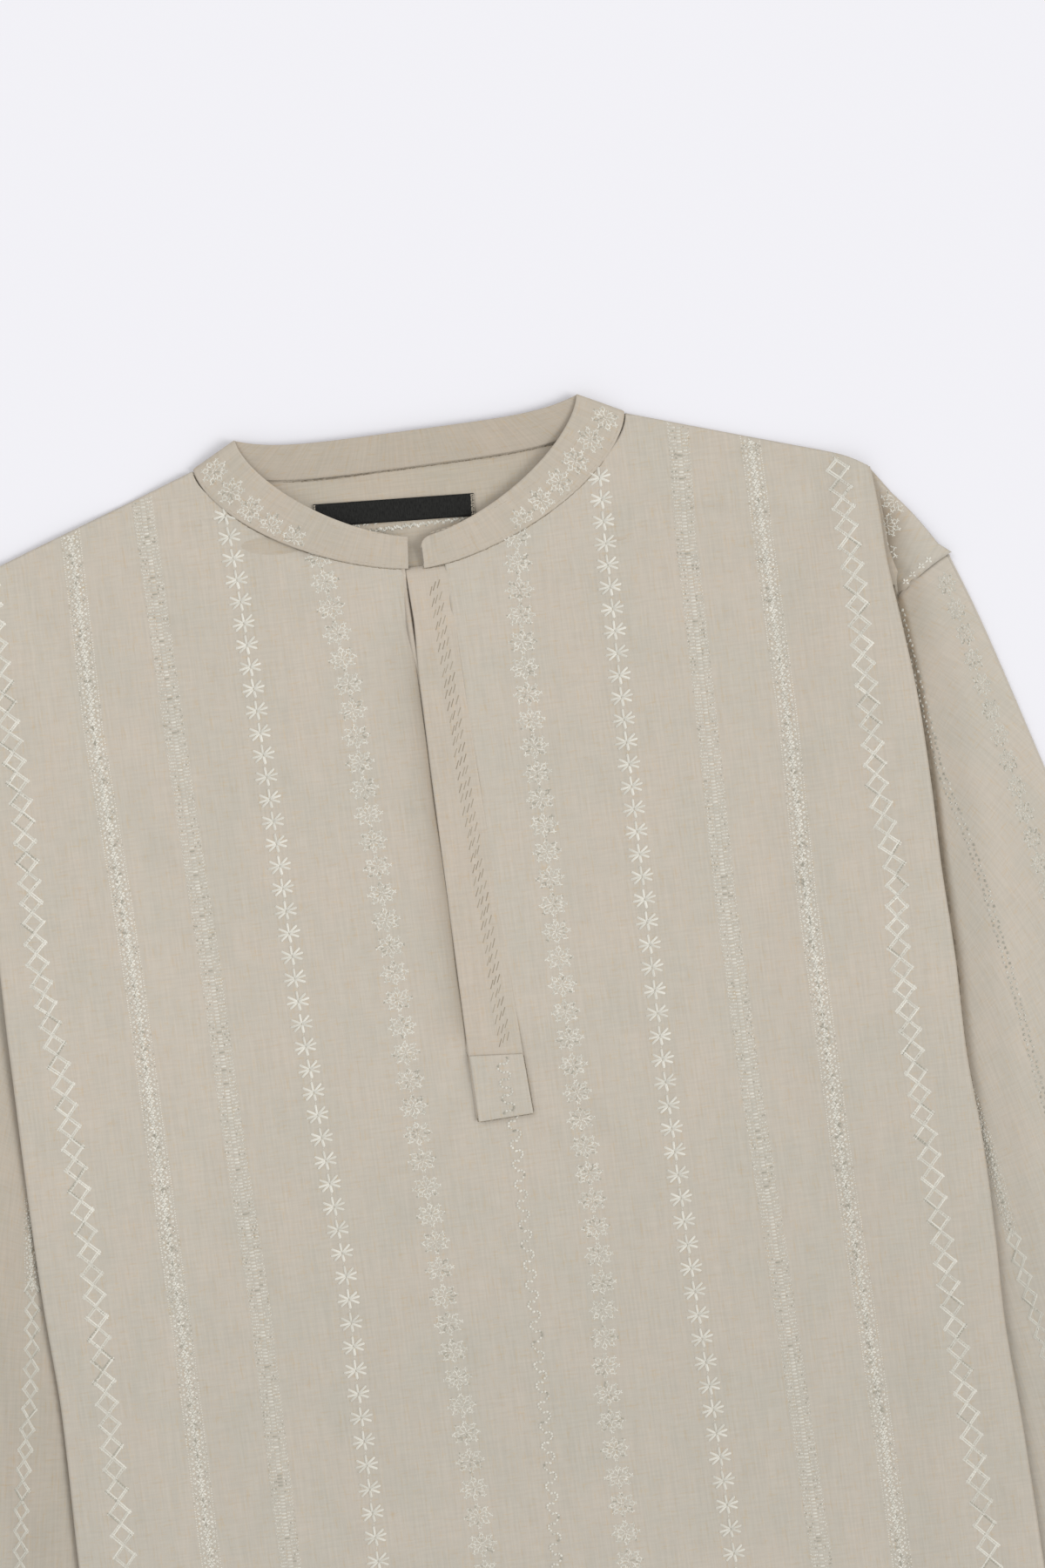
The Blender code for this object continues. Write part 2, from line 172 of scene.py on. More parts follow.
# Waves of the cloth: height, length across, length along and seed.
WAVES = {
    "front": (0.6, 62.0, 47.0, 3),
    "front fine": (0.25, 30.0, 24.0, 4),
    "shoulders": (1.8, 62.0, 12.0, 5),
    "fan": (1.3, 15.0, 90.0, 7),
    "lower": (0.65, 32.0, 170.0, 6),
    "cap": (0.85, 7.0, 15.0, 13),
    # The cap shade patches wave varies the strength of painted shade in the caps' valleys.
    "cap shade patches": (0.3, 9.0, 14.0, 14),
    "sleeve": (0.45, 19.0, 150.0, 12),
    "yoke": (0.45, 30.0, 12.0, 8),
    "placket": (0.16, 20.0, 34.0, 21),
    "box": (0.1, 12.0, 12.0, 22),
    "label": (0.22, 17.0, 30.0, 23),
}

# The photograph's frame: its middle on the shirt, its turn, and the length that its long side covers.
VIEW_CENTRE = (36.5, -122.1)
VIEW_TURN = math.radians(-7.7)
VIEW_LENGTH = 857.1
LENS = 85.0
SENSOR = 36.0


def smooth(t):
    t = np.clip(t, 0.0, 1.0)
    return t * t * (3 - 2 * t)


def mix(a, b, t):
    return a + (b - a) * t


def from_table(table, y):
    """The x at this y in a table of (y, x) rows that runs down the shirt."""
    rows = np.array(table, float)
    return np.interp(-np.asarray(y, float), -rows[:, 0], rows[:, 1])


def curve_through(places, values, at):
    """A smooth curve through a few values, read at other places."""
    places, values, at = np.asarray(places, float), np.asarray(values, float), np.asarray(at, float)
    slopes = np.gradient(values, places)
    k = np.clip(np.searchsorted(places, at) - 1, 0, len(places) - 2)
    span = places[k + 1] - places[k]
    t = np.clip((at - places[k]) / span, 0.0, 1.0)
    start, end = values[k], values[k + 1]
    rise = (2 * t**3 - 3 * t**2 + 1) * start + (3 * t**2 - 2 * t**3) * end
    return rise + span * ((t**3 - 2 * t**2 + t) * slopes[k] + (t**3 - t**2) * slopes[k + 1])


def noise(x, y, cell_x, cell_y, seed):
    """Soft random waves from -1 to 1, with cells of this size."""
    lattice = np.random.default_rng(seed).uniform(-1, 1, (67, 67))
    gx, gy = np.asarray(x) / cell_x + 31.3, np.asarray(y) / cell_y + 29.7
    ix, iy = np.floor(gx).astype(int), np.floor(gy).astype(int)
    fx, fy = smooth(gx - ix), smooth(gy - iy)
    ix, iy = ix % 66, iy % 66
    top = mix(lattice[iy, ix], lattice[iy, ix + 1], fx)
    return mix(top, mix(lattice[iy + 1, ix], lattice[iy + 1, ix + 1], fx), fy)


def wave(name, x, y):
    """One of the cloth's waves, as a height at any place."""
    height, wide, long, seed = WAVES[name]
    return height * noise(x, y, wide, long, seed)


def rising(value, start, end):
    """From 0 to 1, smoothly, as the value goes from start to end."""
    return smooth((value - start) / (end - start))


def falling(value, start, end):
    return 1 - rising(value, start, end)


def bell(x, middle, width):
    return np.exp(-(((x - middle) / width) ** 2))


def round_curve(x, half, top, drop, power):
    share = np.minimum(np.abs(x) / half, 1.0)
    return top - drop * (1 - share**power) ** (1 / power)


def shoulder_y(x):
    rounding = np.clip((np.abs(x) - SHOULDER_ROUND_X) / SHOULDER_ROUND_RUN, 0.0, 1.0) ** 2
    return NECK_SIDE_Y - SHOULDER_FALL * (np.abs(x) - NECK_HALF) - SHOULDER_ROUND_DROP * rounding


def front_top_y(x):
    top = shoulder_y(FRONT_NECK_HALF)
    neck = round_curve(x, FRONT_NECK_HALF, top, FRONT_NECK_DROP, FRONT_NECK_POWER)
    return np.where(np.abs(x) >= FRONT_NECK_HALF, shoulder_y(x), neck)


def fold_x(y):
    down = np.clip((shoulder_y(FOLD_TOP_X) - y) / FOLD_RUN, 0.0, 1.0)
    return FOLD_TOP_X + (FOLD_X - FOLD_TOP_X) * (1 - (1 - down) ** FOLD_POWER)


def fold_shift(side, y):
    """How far the real fold wanders from its even line, outwards."""
    rows = np.array(LEFT_FOLD_WANDER if side > 0 else RIGHT_FOLD_WANDER, float)
    return curve_through(-rows[:, 0], rows[:, 1], -np.asarray(y, float))


def beyond_fold(side, x, y):
    """How far a place at a reach of x lies outside the real fold."""
    return x - fold_x(y) - fold_shift(side, y)


def over_sleeve(y):
    return rising(y, *HEM_SETTLE)


def turned_level(y):
    return FIRST + (THIRD - FIRST) * over_sleeve(y)


def turned_inner_x(y):
    top_y = shoulder_y(FOLD_TOP_X)
    valley = mix(VALLEY_TOP_X, SIDE_SEAM[0][1], (top_y - y) / (top_y - UNDERARM[1]))
    return np.where(y >= UNDERARM[1], valley, from_table(SIDE_SEAM, y) + 0.5)


def below_fold_top(y):
    """From 0 at the top of the fold to 1 where its shape has settled."""
    return smooth((shoulder_y(FOLD_TOP_X) - y) / FOLD_SETTLE)


def fold_lift(y):
    return mix(FOLD_TOP_LIFT, FOLD_LIFT, below_fold_top(y))


def sleeve_inner_x(y):
    return np.interp(-np.asarray(y, float), -SLEEVE[:, 3], SLEEVE[:, 2])


def rise_x(y):
    inner = turned_inner_x(y)
    return np.where(y >= UNDERARM[1], inner, np.minimum(sleeve_inner_x(y), inner))


def front_level(x, y):
    """The front's middle level: over the back, then up over the turned side and round to the fold."""
    reach, rise, fold, run = np.abs(x), rise_x(y), fold_x(y), mix(*FRONT_RISE_RUN, below_fold_top(y))
    over_turned = turned_level(y) + LAYER + FRONT_CLEARANCE
    level = SECOND + (over_turned - SECOND) * smooth((reach - rise + run) / (run - 5.0))
    edge = turned_level(y) + fold_lift(y)
    return level + (edge - over_turned) * smooth((reach - rise) / (fold - rise))


def front_relief(x, y):
    """The soft waves of the front, in millimetres over its level."""
    shoulders = rising(y, -75.0, 20.0) * rising(-np.abs(x), -250.0, -190.0)
    below_box = bell(np.abs(x), 45.0, 45.0) * bell(y, -285.0, 60.0)
    waves = wave("front", x, y) + wave("front fine", x, y)
    waves = waves + shoulders * wave("shoulders", x, y + 0.12 * x)
    waves = waves + below_box * wave("fan", x + 0.6 * y * np.sign(x), y)
    waves = waves + rising(-y, 250.0, 370.0) * wave("lower", x + 0.1 * y, y)
    beside_slit = rising(y, SLIT_END_Y, SLIT_END_Y + 14.0) * rising(-y, -2.0, 8.0)
    left = mix(-0.35, 0.68, rising(-y, 28.0, 68.0)) * np.where(x < 0, bell(x, SLIT_LEFT_X, 9.0), 0.0)
    down = (PLACKET_TOP_Y - y) / (PLACKET_TOP_Y - BOX_TOP_Y)
    right = 0.5 * bell(x, mix(*PLACKET_RIGHT, down) + 1.0, 8.0)
    return waves + beside_slit * (left + right) + 0.4


def front_cut_y(x):
    """The front's upper edge, with the seam allowance that lies under the collar band."""
    return front_top_y(x) + FRONT_SEAM_ALLOWANCE * smooth((FRONT_NECK_HALF - np.abs(x)) / 18.0)


def front_surface(x, y):
    return front_level(x, y) + front_relief(x, y) + CLOTH / 2


def bowed_line(inner, outer, share, bow=1.0):
    """Places on a line across the arm, which bows inwards near its outer end as the armhole does."""
    along = SHOULDER_POINT - UNDERARM
    inward = np.array((-along[1], along[0])) / np.hypot(*along)
    share = np.asarray(share, float)[..., None]
    return inner + (outer - inner) * share + inward * (bow * ARMHOLE_BOW * share**3 * (1 - share))


def armhole(share):
    return bowed_line(UNDERARM, SHOULDER_POINT, share)


def run_along(places):
    """The distance along a line of places to each of them."""
    return np.concatenate([[0], np.cumsum(np.linalg.norm(np.diff(places, axis=0), axis=1))])


def place_at(distance, run, places):
    return np.array([np.interp(distance, run, places[:, axis]) for axis in (0, 1)])


def add_object(name, mesh):
    made = bpy.data.objects.new(name, mesh)
    bpy.context.scene.collection.objects.link(made)
    return made


def add_piece(name, points, faces, material):
    """A smooth piece of the shirt, from points in its own millimetres."""
    mesh = bpy.data.meshes.new(name)
    placed = points * MM - np.array((0.0, MIDDLE_Y * MM, 0.0))
    mesh.from_pydata(placed.tolist(), [], faces)
    mesh.polygons.foreach_set("use_smooth", np.ones(len(faces), bool))
    mesh.materials.append(material)
    piece = add_object(name, mesh)
    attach(piece, "root")
    return piece


def set_values(mesh, name, values):
    """One value at each point of a mesh, for its material."""
    mesh.attributes.new(name, "FLOAT", "POINT").data.foreach_set("value", values)


def shell(name, middle, thickness, grain, material, kept=None, ring=False, crease=None):
    """A closed wall of cloth round a grid of middle points, with the cloth's grain as a UV map in metres.

    The crease is how deep each point's painted shade is in a fold, from 0 to 1.
    """
    middle = np.asarray(middle, float)
    rows, across = middle.shape[:2]
    along_row = np.gradient(middle, axis=1)
    if ring:
        along_row = (np.roll(middle, -1, axis=1) - np.roll(middle, 1, axis=1)) / 2
    normal = np.cross(along_row, -np.gradient(middle, axis=0))
    normal /= np.maximum(np.linalg.norm(normal, axis=2, keepdims=True), 1e-9)
    half = np.broadcast_to(np.asarray(thickness, float), (rows, across))[..., None] / 2
    points = np.stack([middle + normal * half, middle - normal * half]).reshape(-1, 3)
    count = rows * across
    j, i = np.meshgrid(np.arange(rows - 1), np.arange(across if ring else across - 1), indexing="ij")
    if kept is not None:
        wanted = kept(i, j)
        i, j = i[wanted], j[wanted]
    i, j = i.ravel(), j.ravel()
    after = (i + 1) % across
    a, b, c, d = j * across + i, j * across + after, (j + 1) * across + after, (j + 1) * across + i
    outer = np.stack([a, d, c, b], axis=1)
    inner = np.stack([a, b, c, d], axis=1) + count
    edges = np.concatenate([outer[:, [k, (k + 1) % 4]] for k in range(4)])
    forward = edges[:, 0] * count + edges[:, 1]
    backward = edges[:, 1] * count + edges[:, 0]
    rim = edges[~np.isin(forward, backward)]
    walls = np.stack([rim[:, 1], rim[:, 0], rim[:, 0] + count, rim[:, 1] + count], axis=1)
    used, faces = np.unique(np.concatenate([outer, inner, walls]), return_inverse=True)
    faces = faces.reshape(-1, 4)
    piece = add_piece(name, points[used], faces.tolist(), material)
    flat = np.asarray(grain, float).reshape(-1, 2) * MM
    flat = np.concatenate([flat, flat])[used]
    piece.data.uv_layers.new(name="Grain").data.foreach_set("uv", flat[faces.ravel()].ravel())
    # Painted shade in folds, kept as each point's crease value.
    if crease is not None:
        set_values(piece.data, "crease", np.tile(np.asarray(crease, float).ravel(), 2)[used])
    piece.data.validate()
    return piece


def cloth_area(middle, kept=None):
    """The area of a grid of cloth, in square metres."""
    a, b, c, d = middle[:-1, :-1], middle[:-1, 1:], middle[1:, 1:], middle[1:, :-1]
    area = np.linalg.norm(np.cross(c - a, d - b), axis=2) / 2
    if kept is not None:
        j, i = np.meshgrid(np.arange(area.shape[0]), np.arange(area.shape[1]), indexing="ij")
        area = np.where(kept(i, j), area, 0.0)
    return float(area.sum()) * 1e-6


# Materials.


def plug(tree, value, target):
    """Links a socket to its target, or gives the target a plain value."""
    if isinstance(value, bpy.types.NodeSocket):
        tree.links.new(value, target)
    else:
        target.default_value = value


def node(tree, kind, **inputs):
    made = tree.nodes.new(kind)
    for key, value in inputs.items():
        plug(tree, value, made.inputs[key])
    return made


def stretched_noise(tree, grain, across, along, detail, offset):
    """Noise drawn out along the yarns: how many cells to a metre each way."""
    shift = (offset, offset, 0.0)
    mapping = node(tree, "ShaderNodeMapping", Vector=grain, Scale=(across, along, 1.0), Location=shift)
    place = mapping.outputs[0]
    made = node(tree, "ShaderNodeTexNoise", Vector=place, Scale=1.0, Detail=detail, Roughness=0.6)
    made.noise_dimensions = "2D"
    return made.outputs[0]


def ramp(tree, value, low, high, start, end):
    made = node(tree, "ShaderNodeValToRGB", Fac=value)
    first, second = made.color_ramp.elements
    first.position, second.position = start, end
    first.color, second.color = (*low, 1.0), (*high, 1.0)
    return made.outputs[0]


def multiply(tree, first, second):
    """One colour times another."""
    made = tree.nodes.new("ShaderNodeMix")
    made.data_type = "RGBA"
    made.blend_type = "MULTIPLY"
    made.inputs[0].default_value = 1.0
    tree.links.new(first, made.inputs[6])
    tree.links.new(second, made.inputs[7])
    return made.outputs[2]


def math_node(tree, operation, first, second=0.0):
    made = tree.nodes.new("ShaderNodeMath")
    made.operation = operation
    plug(tree, first, made.inputs[0])
    plug(tree, second, made.inputs[1])
    return made.outputs[0]


def sine(tree, place, period):
    """Waves of this period in metres."""
    return math_node(tree, "SINE", math_node(tree, "MULTIPLY", place, 2 * math.pi / period))


def point_values(tree, name):
    made = tree.nodes.new("ShaderNodeAttribute")
    made.attribute_name = name
    return made.outputs["Fac"]


def grain_places(tree):
    """The grain of the cloth, and its places across and along it in metres."""
    grain = tree.nodes.new("ShaderNodeUVMap")
    grain.uv_map = "Grain"
    parts = node(tree, "ShaderNodeSeparateXYZ", Vector=grain.outputs[0])
    return grain.outputs[0], parts.outputs[0], parts.outputs[1]


def new_material(name, roughness, specular, sheen=0.0):
    material = bpy.data.materials.new(name)
    material.use_nodes = True
    shader = material.node_tree.nodes["Principled BSDF"]
    shader.inputs["Roughness"].default_value = roughness
    shader.inputs["Specular IOR Level"].default_value = specular
    shader.inputs["Sheen Weight"].default_value = sheen
    return material, material.node_tree, shader


WHITE = (1.0, 1.0, 1.0)
LINEN_TONES = ((0.490, 0.452, 0.387), (0.516, 0.463, 0.394))
WARP_TONES = ((0.954, 0.954, 0.95), (1.042, 1.037, 1.034))
WEFT_TONES = ((0.968, 0.968, 0.968), (1.03, 1.03, 1.026))
SLUB_TONE = (1.0, 0.945, 0.865)
LOWER_TONE = (0.935, 0.945, 0.95)
# The colour of the painted shade in the linen's folds.
PAINTED_SHADE_TONE = (0.55, 0.485, 0.41)


def linen_material(name, tint=WHITE):
    """Plain-woven slub linen: warp and weft streaks over a soft mottle, with a fine weave in its bump.

    Its tone is a little deeper in the lower half of a length, and darkened by painted shade where a point's
    crease value is set.
    """
    material, tree, shader = new_material(name, roughness=0.88, specular=0.25, sheen=0.12)
    grain, across, along = grain_places(tree)
    warp = stretched_noise(tree, grain, 820.0, 34.0, 3.0, 3.0)
    weft = stretched_noise(tree, grain, 60.0, 760.0, 3.0, 9.0)
    warp_slubs = stretched_noise(tree, grain, 700.0, 85.0, 2.0, 13.0)
    weft_slubs = stretched_noise(tree, grain, 130.0, 800.0, 2.0, 17.0)
    mottle = stretched_noise(tree, grain, 34.0, 22.0, 3.0, 5.0)
    tinted = [tuple(c * t for c, t in zip(tone, tint)) for tone in LINEN_TONES]
    colour = ramp(tree, mottle, *tinted, 0.33, 0.67)
    for value, low, high, start, end in (
        (warp, *WARP_TONES, 0.28, 0.72),
        (weft, *WEFT_TONES, 0.28, 0.72),
        (warp_slubs, WHITE, SLUB_TONE, 0.6, 0.74),
        (weft_slubs, WHITE, SLUB_TONE, 0.6, 0.74),
        (math_node(tree, "ADD", along, 0.5), LOWER_TONE, WHITE, 0.06, 0.26),
        # Painted shade: the crease value darkens the linen towards the shade colour.
        (point_values(tree, "crease"), WHITE, PAINTED_SHADE_TONE, 0.0, 1.0),
    ):
        colour = multiply(tree, colour, ramp(tree, value, low, high, start, end))
    tree.links.new(colour, shader.inputs["Base Color"])
    yarns = math_node(tree, "MULTIPLY", sine(tree, across, YARN * MM), sine(tree, along, YARN * MM))
    weave = math_node(tree, "MULTIPLY", yarns, 0.25)
    height = math_node(tree, "ADD", weave, math_node(tree, "ADD", warp, weft))
    bump = node(tree, "ShaderNodeBump", Height=height, Strength=0.35, Distance=0.00012)
    tree.links.new(bump.outputs[0], shader.inputs["Normal"])
    shader.inputs["Sheen Roughness"].default_value = 0.5
    return material


def thread_material(name, dark, light, roughness=0.5):
    """Embroidery thread, whose tone changes from stitch to stitch."""
    material, tree, shader = new_material(name, roughness, specular=0.4, sheen=0.2)
    colour = ramp(tree, point_values(tree, "tone"), dark, light, 0.0, 1.0)
    tree.links.new(colour, shader.inputs["Base Color"])
    return material


def label_material():
    """Black woven tape, ribbed across."""
    material, tree, shader = new_material("Woven black", roughness=0.7, specular=0.2)
    grain, _, along = grain_places(tree)
    speck = stretched_noise(tree, grain, 1500.0, 400.0, 2.0, 1.0)
    colour = ramp(tree, speck, (0.006, 0.006, 0.0055), (0.018, 0.018, 0.0165), 0.3, 0.7)
    tree.links.new(colour, shader.inputs["Base Color"])
    bump = node(tree, "ShaderNodeBump", Height=sine(tree, along, RIB * MM), Strength=0.3, Distance=0.0001)
    tree.links.new(bump.outputs[0], shader.inputs["Normal"])
    return material


# Cloth pieces.


def spaced(start, end, step):
    """Places from start to end, about step apart."""
    return np.linspace(start, end, max(math.ceil(abs(end - start) / step), 2) + 1)


FOLD_TURNS = np.radians(np.linspace(15, 180, 12))
FOLD_EASE = 14.0
SLIT_COLUMNS = (0, 1.2, 2.6, 4.4, 6.6)
NECK_COLUMNS = 33
CHEST_COLUMNS = 30
UNDER_COLUMNS = 8
CAP_COLUMNS = 18
ARM_ROWS = 66
BODY_ROWS = 106


def cap_level(down, x, y, to_seam):
    """The shoulder cap: a crease along the body's fold, a round top, and a lip along the sleeve's seam."""
    inside = x - fold_x(y)
    rounded = 0.2 + 0.8 * math.sqrt(min(down / 0.028, 1.0))
    crease = 1.4 * falling(inside, -0.5, 5.5) + 0.5 * bell(inside, 3.0, 9.0)
    puff = 3.6 * rising(inside, 2.0, 25.0) * rounded * (1 - 0.45 * np.exp(-to_seam / 6.0))
    lip = bell(to_seam, 2.0, 1.9) * np.clip(inside / 4.0, 0, 1)
    wrinkles = wave("cap", x + y, x - y) * bell(to_seam, 6.0, 10.0) * np.clip(inside / 5.0, 0, 1)
    return SECOND - crease + puff + lip + wrinkles * rounded


def front_half(down, side):
    """Half of a row of the front from the slit to the fold, round it and out to the shoulder cap."""
    side_y = mix(shoulder_y(FOLD_TOP_X), HEM_Y, down)
    inner, under = turned_inner_x(side_y), turned_level(side_y)
    radius = fold_lift(side_y) / 2
    outer = fold_x(side_y) + fold_shift(side, side_y) - radius
    slit = SLIT_RIGHT_X if side > 0 else -SLIT_LEFT_X
    spread = 1 - (1 - np.linspace(0, 1, NECK_COLUMNS)) ** 1.55
    neck = np.concatenate([slit + np.array(SLIT_COLUMNS), mix(slit + 9.0, FRONT_NECK_HALF, spread)])
    chest = np.linspace(FRONT_NECK_HALF, outer - FOLD_EASE, CHEST_COLUMNS)
    wide = np.concatenate([neck[:-1], chest[:-1], spaced(outer - FOLD_EASE, outer, 1.6)])
    y = mix(front_cut_y(wide), HEM_Y, down)
    ease = smooth((outer - wide) / 16.0)
    z = front_level(wide, y) + front_relief(side * wide, y) * ease
    turned_under = np.linspace(outer, inner, UNDER_COLUMNS + 1)[1:]
    x = np.concatenate([wide, outer + radius * np.sin(FOLD_TURNS), turned_under, [inner]])
    z = np.concatenate([z, under + radius * (1 + np.cos(FOLD_TURNS)), under + 0 * turned_under, [SECOND]])
    y = np.concatenate([y, np.full(len(x) - len(y), side_y)])
    share = np.linspace(0, 1, CAP_COLUMNS + 1)[1:]
    seam = armhole(np.interp(down, ARMHOLE_DOWN, ARMHOLE_SHARES))
    out = 1.8 * max(1 - down / 0.07, 0.0) * np.sin(math.pi * share)
    cap_x = mix(inner, seam[0], share) + out
    cap_y = mix(float(side_y), seam[1], share) + out
    to_seam = np.hypot(cap_x - seam[0], cap_y - seam[1])
    corner = 3.4 * max(1 - down / 0.03, 0.0) * bell(to_seam, 1.2, 2.8)
    cap_x, cap_y = cap_x + corner, cap_y + 0.4 * corner
    open_cap = seam[0] > fold_x(seam[1])
    cap_z = cap_level(down, cap_x, cap_y, to_seam) if open_cap else np.full(CAP_COLUMNS, SECOND)
    return np.column_stack([
        side * np.concatenate([x, cap_x]), np.concatenate([y, cap_y]), np.concatenate([z, cap_z])])


def front_painted_shade(rows):
    """The painted shade of the front's folds: in the caps' valleys, beside the slit, and over the lit edge of
    the wearer's left fold.
    """
    x, y = rows[..., 0], rows[..., 1]
    inside = np.abs(x) - fold_x(y)
    valley = 0.62 * falling(inside, 1.0, 18.0) + 0.2 * bell(inside, 3.0, 4.0)
    valley = valley * (0.85 + wave("cap shade patches", x, y)) * rising(-y, -14.0, 2.0)
    in_cap = np.zeros(rows.shape[:2], bool)
    in_cap[:, :CAP_COLUMNS] = in_cap[:, -CAP_COLUMNS:] = True
    away = np.clip(SLIT_LEFT_X - x, 0, None)
    beside = (0.42 * np.exp(-away / 3.5) + 0.26 * np.exp(-away / 10.0)) * (x < 0)
    beside = beside * rising(y, SLIT_END_Y, SLIT_END_Y + 20.0) * rising(-y, 10.0, 70.0)
    # Painted shade that darkens the edge of the wearer's left fold, where the light falls on it.
    rim = 0.32 * rising(beyond_fold(1, x, y), -1.5, -0.1)
    return np.where(in_cap, valley, np.where(np.abs(x) < 80, beside, rim))


def make_front(material):
    lines = np.unique(np.concatenate([
        np.interp(np.linspace(0, 1, ARM_ROWS), np.linspace(0, 1, len(ARMHOLE_DOWN)), ARMHOLE_DOWN),
        np.linspace(ARMHOLE_END, 1.0, BODY_ROWS),
    ]))
    arm_rows = int(np.searchsorted(lines, ARMHOLE_END + 1e-9))
    rows, grain = [], []
    middle_x = np.linspace(SLIT_LEFT_X, SLIT_RIGHT_X, 8)[1:-1]
    for down in lines:
        left, right = front_half(down, -1)[::-1], front_half(down, 1)
        y = mix(front_cut_y(middle_x), HEM_Y, down)
        between = np.stack([middle_x, y, front_level(middle_x, y) + front_relief(middle_x, y)], axis=1)
        row = np.concatenate([left, between, right])
        rows.append(row)
        run = run_along(row[:, [0, 2]])
        centre = len(left) + len(middle_x) // 2
        grain.append(np.stack([run - run[centre], row[:, 1]], axis=1))
    rows = np.array(rows)
    half = (rows.shape[1] - len(middle_x)) // 2
    last = rows.shape[1] - 2
    slit_down = (front_cut_y(0.0) - SLIT_END_Y) / (front_cut_y(0.0) - HEM_Y)
    slit_rows = int(np.searchsorted(lines, slit_down))

    def kept(i, j):
        in_cap = np.minimum(i, last - i) < CAP_COLUMNS + 1
        in_slit = (i >= half - 1) & (i < half + len(middle_x)) & (j < slit_rows)
        return ~in_slit & ~(in_cap & (j >= arm_rows - 1))

    caps = rows[:arm_rows, -CAP_COLUMNS:].reshape(-1, 3)
    # The front's folds and edges get painted shade through their crease values.
    piece = shell("Front", rows, CLOTH, grain, material, kept, crease=front_painted_shade(rows))
    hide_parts("front_panel")
    cloth_area(rows, kept)
    return caps


def yoke_top_y(x):
    top = shoulder_y(FRONT_NECK_HALF)
    neck = mix(YOKE_NECK_Y, top, np.minimum(np.abs(x) / FRONT_NECK_HALF, 1.0) ** 3)
    return np.where(np.abs(x) >= FRONT_NECK_HALF, shoulder_y(x), neck)


def yoke_seam_y(x):
    end = armhole(SLEEVE_EDGE_SHARE)
    return mix(YOKE_SEAM_Y, end[1], np.minimum(np.abs(x) / end[0], 1.0) ** 4)


def mirrored(half):
    """A row and its mirror image in one, from a row that starts on the centre line."""
    return np.concatenate([half[:0:-1] * (-1, 1, 1), half])


def yoke_level(x, y):
    return CLOTH / 2 + 0.5 + wave("yoke", x, y)


def make_yoke(material):
    neck, shoulder = np.linspace(0, FRONT_NECK_HALF, 32), np.linspace(FRONT_NECK_HALF, FOLD_TOP_X, 24)
    columns = np.concatenate([neck[:-1], shoulder])
    rows = []
    for down in np.linspace(0, 1, 26):
        y = mix(yoke_top_y(columns), yoke_seam_y(columns), down)
        half = np.stack([columns, y, yoke_level(columns, y)], axis=1)
        seam = armhole(mix(1.0, SLEEVE_EDGE_SHARE, down))
        tail = mix(half[-1, :2], seam, np.linspace(0, 1, 8)[1:, None])
        rows.append(mirrored(np.concatenate([half, np.column_stack([tail, yoke_level(*tail.T)])])))
    rows = np.array(rows)
    piece = shell("Yoke", rows, CLOTH, rows[..., [1, 0]], material)
    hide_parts("back_yoke")
    cloth_area(rows)


def back_level(x, y):
    start = rise_x(y) - BACK_RUN
    under = smooth((UNDERARM[1] - y) / 22.0)
    level = FIRST + (THIRD - FIRST) * smooth((np.abs(x) - start) / (BACK_RUN - 3.0)) * under * over_sleeve(y)
    return level - FIRST + CLOTH / 2


def make_back(material):
    fan_rows = 12
    edge = [tuple(armhole(share)) for share in np.linspace(SLEEVE_EDGE_SHARE, ARMHOLE_SHARES[-1], 54)]
    edge += [(float(from_table(SIDE_SEAM, y)), y) for y in np.linspace(-256.0, HEM_Y, 96)]
    rows = []
    for k, (edge_x, edge_y) in enumerate(edge):
        foot = min(float(rise_x(edge_y)), edge_x) - BACK_RUN
        x = np.concatenate([np.linspace(0, foot, 26)[:-1], np.linspace(foot, edge_x, 14)])
        start = yoke_seam_y(x) - 0.5
        y = np.full_like(x, edge_y) if k else start
        if 0 < k < fan_rows:
            y = mix(start + edge_y - edge[0][1], y, k / fan_rows)
        rows.append(mirrored(np.stack([x, y, back_level(x, y)], axis=1)))
    rows = np.array(rows)
    piece = shell("Back", rows, CLOTH, rows[..., :2], material)
    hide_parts("back_panel")
    cloth_area(rows)


SLEEVE_ROWS = 150
SLEEVE_COLUMNS = (22, 40)
SLEEVE_ROW_LENGTH = 53.0
SLEEVE_ROUND = 500.0
SLEEVE_TURN_IN = np.array(((-0.9, 0.0, SECOND * 0.75), (-0.9, 0.0, SECOND * 0.35)))
SLEEVE_TURN_OUT = np.array(((0.8, 0.2, 0.7), (1.1, 0.3, 1.2), (0.8, 0.2, 1.7)))
SLEEVE_SEAM_STEPS = np.array(((0.46, -0.19), (-1.1, 0.45)))
# How strong the painted shade is along a sleeve's tight crease, as y and strength.
PAINTED_CREASE_SHADE = (
    (0, 0.3), (-40, 0.7), (-60, 1.0), (-110, 1.0), (-185, 1.0), (-230, 0.7), (-300, 0.45), (-345, 0.2),
    (-420, 0.1))


def sleeve_places(k, shares):
    """Places across the sleeve from its inner to its outer edge, at a place k along its table of sections."""
    outer_x, outer_y, inner_x, inner_y = (
        float(curve_through(np.arange(len(SLEEVE)), SLEEVE[:, column], k)) for column in range(4))
    bow = max(1 - k / SLEEVE_BOW_SECTIONS, 0.0)
    return bowed_line(np.array((inner_x, inner_y)), np.array((outer_x, outer_y)), shares, bow)


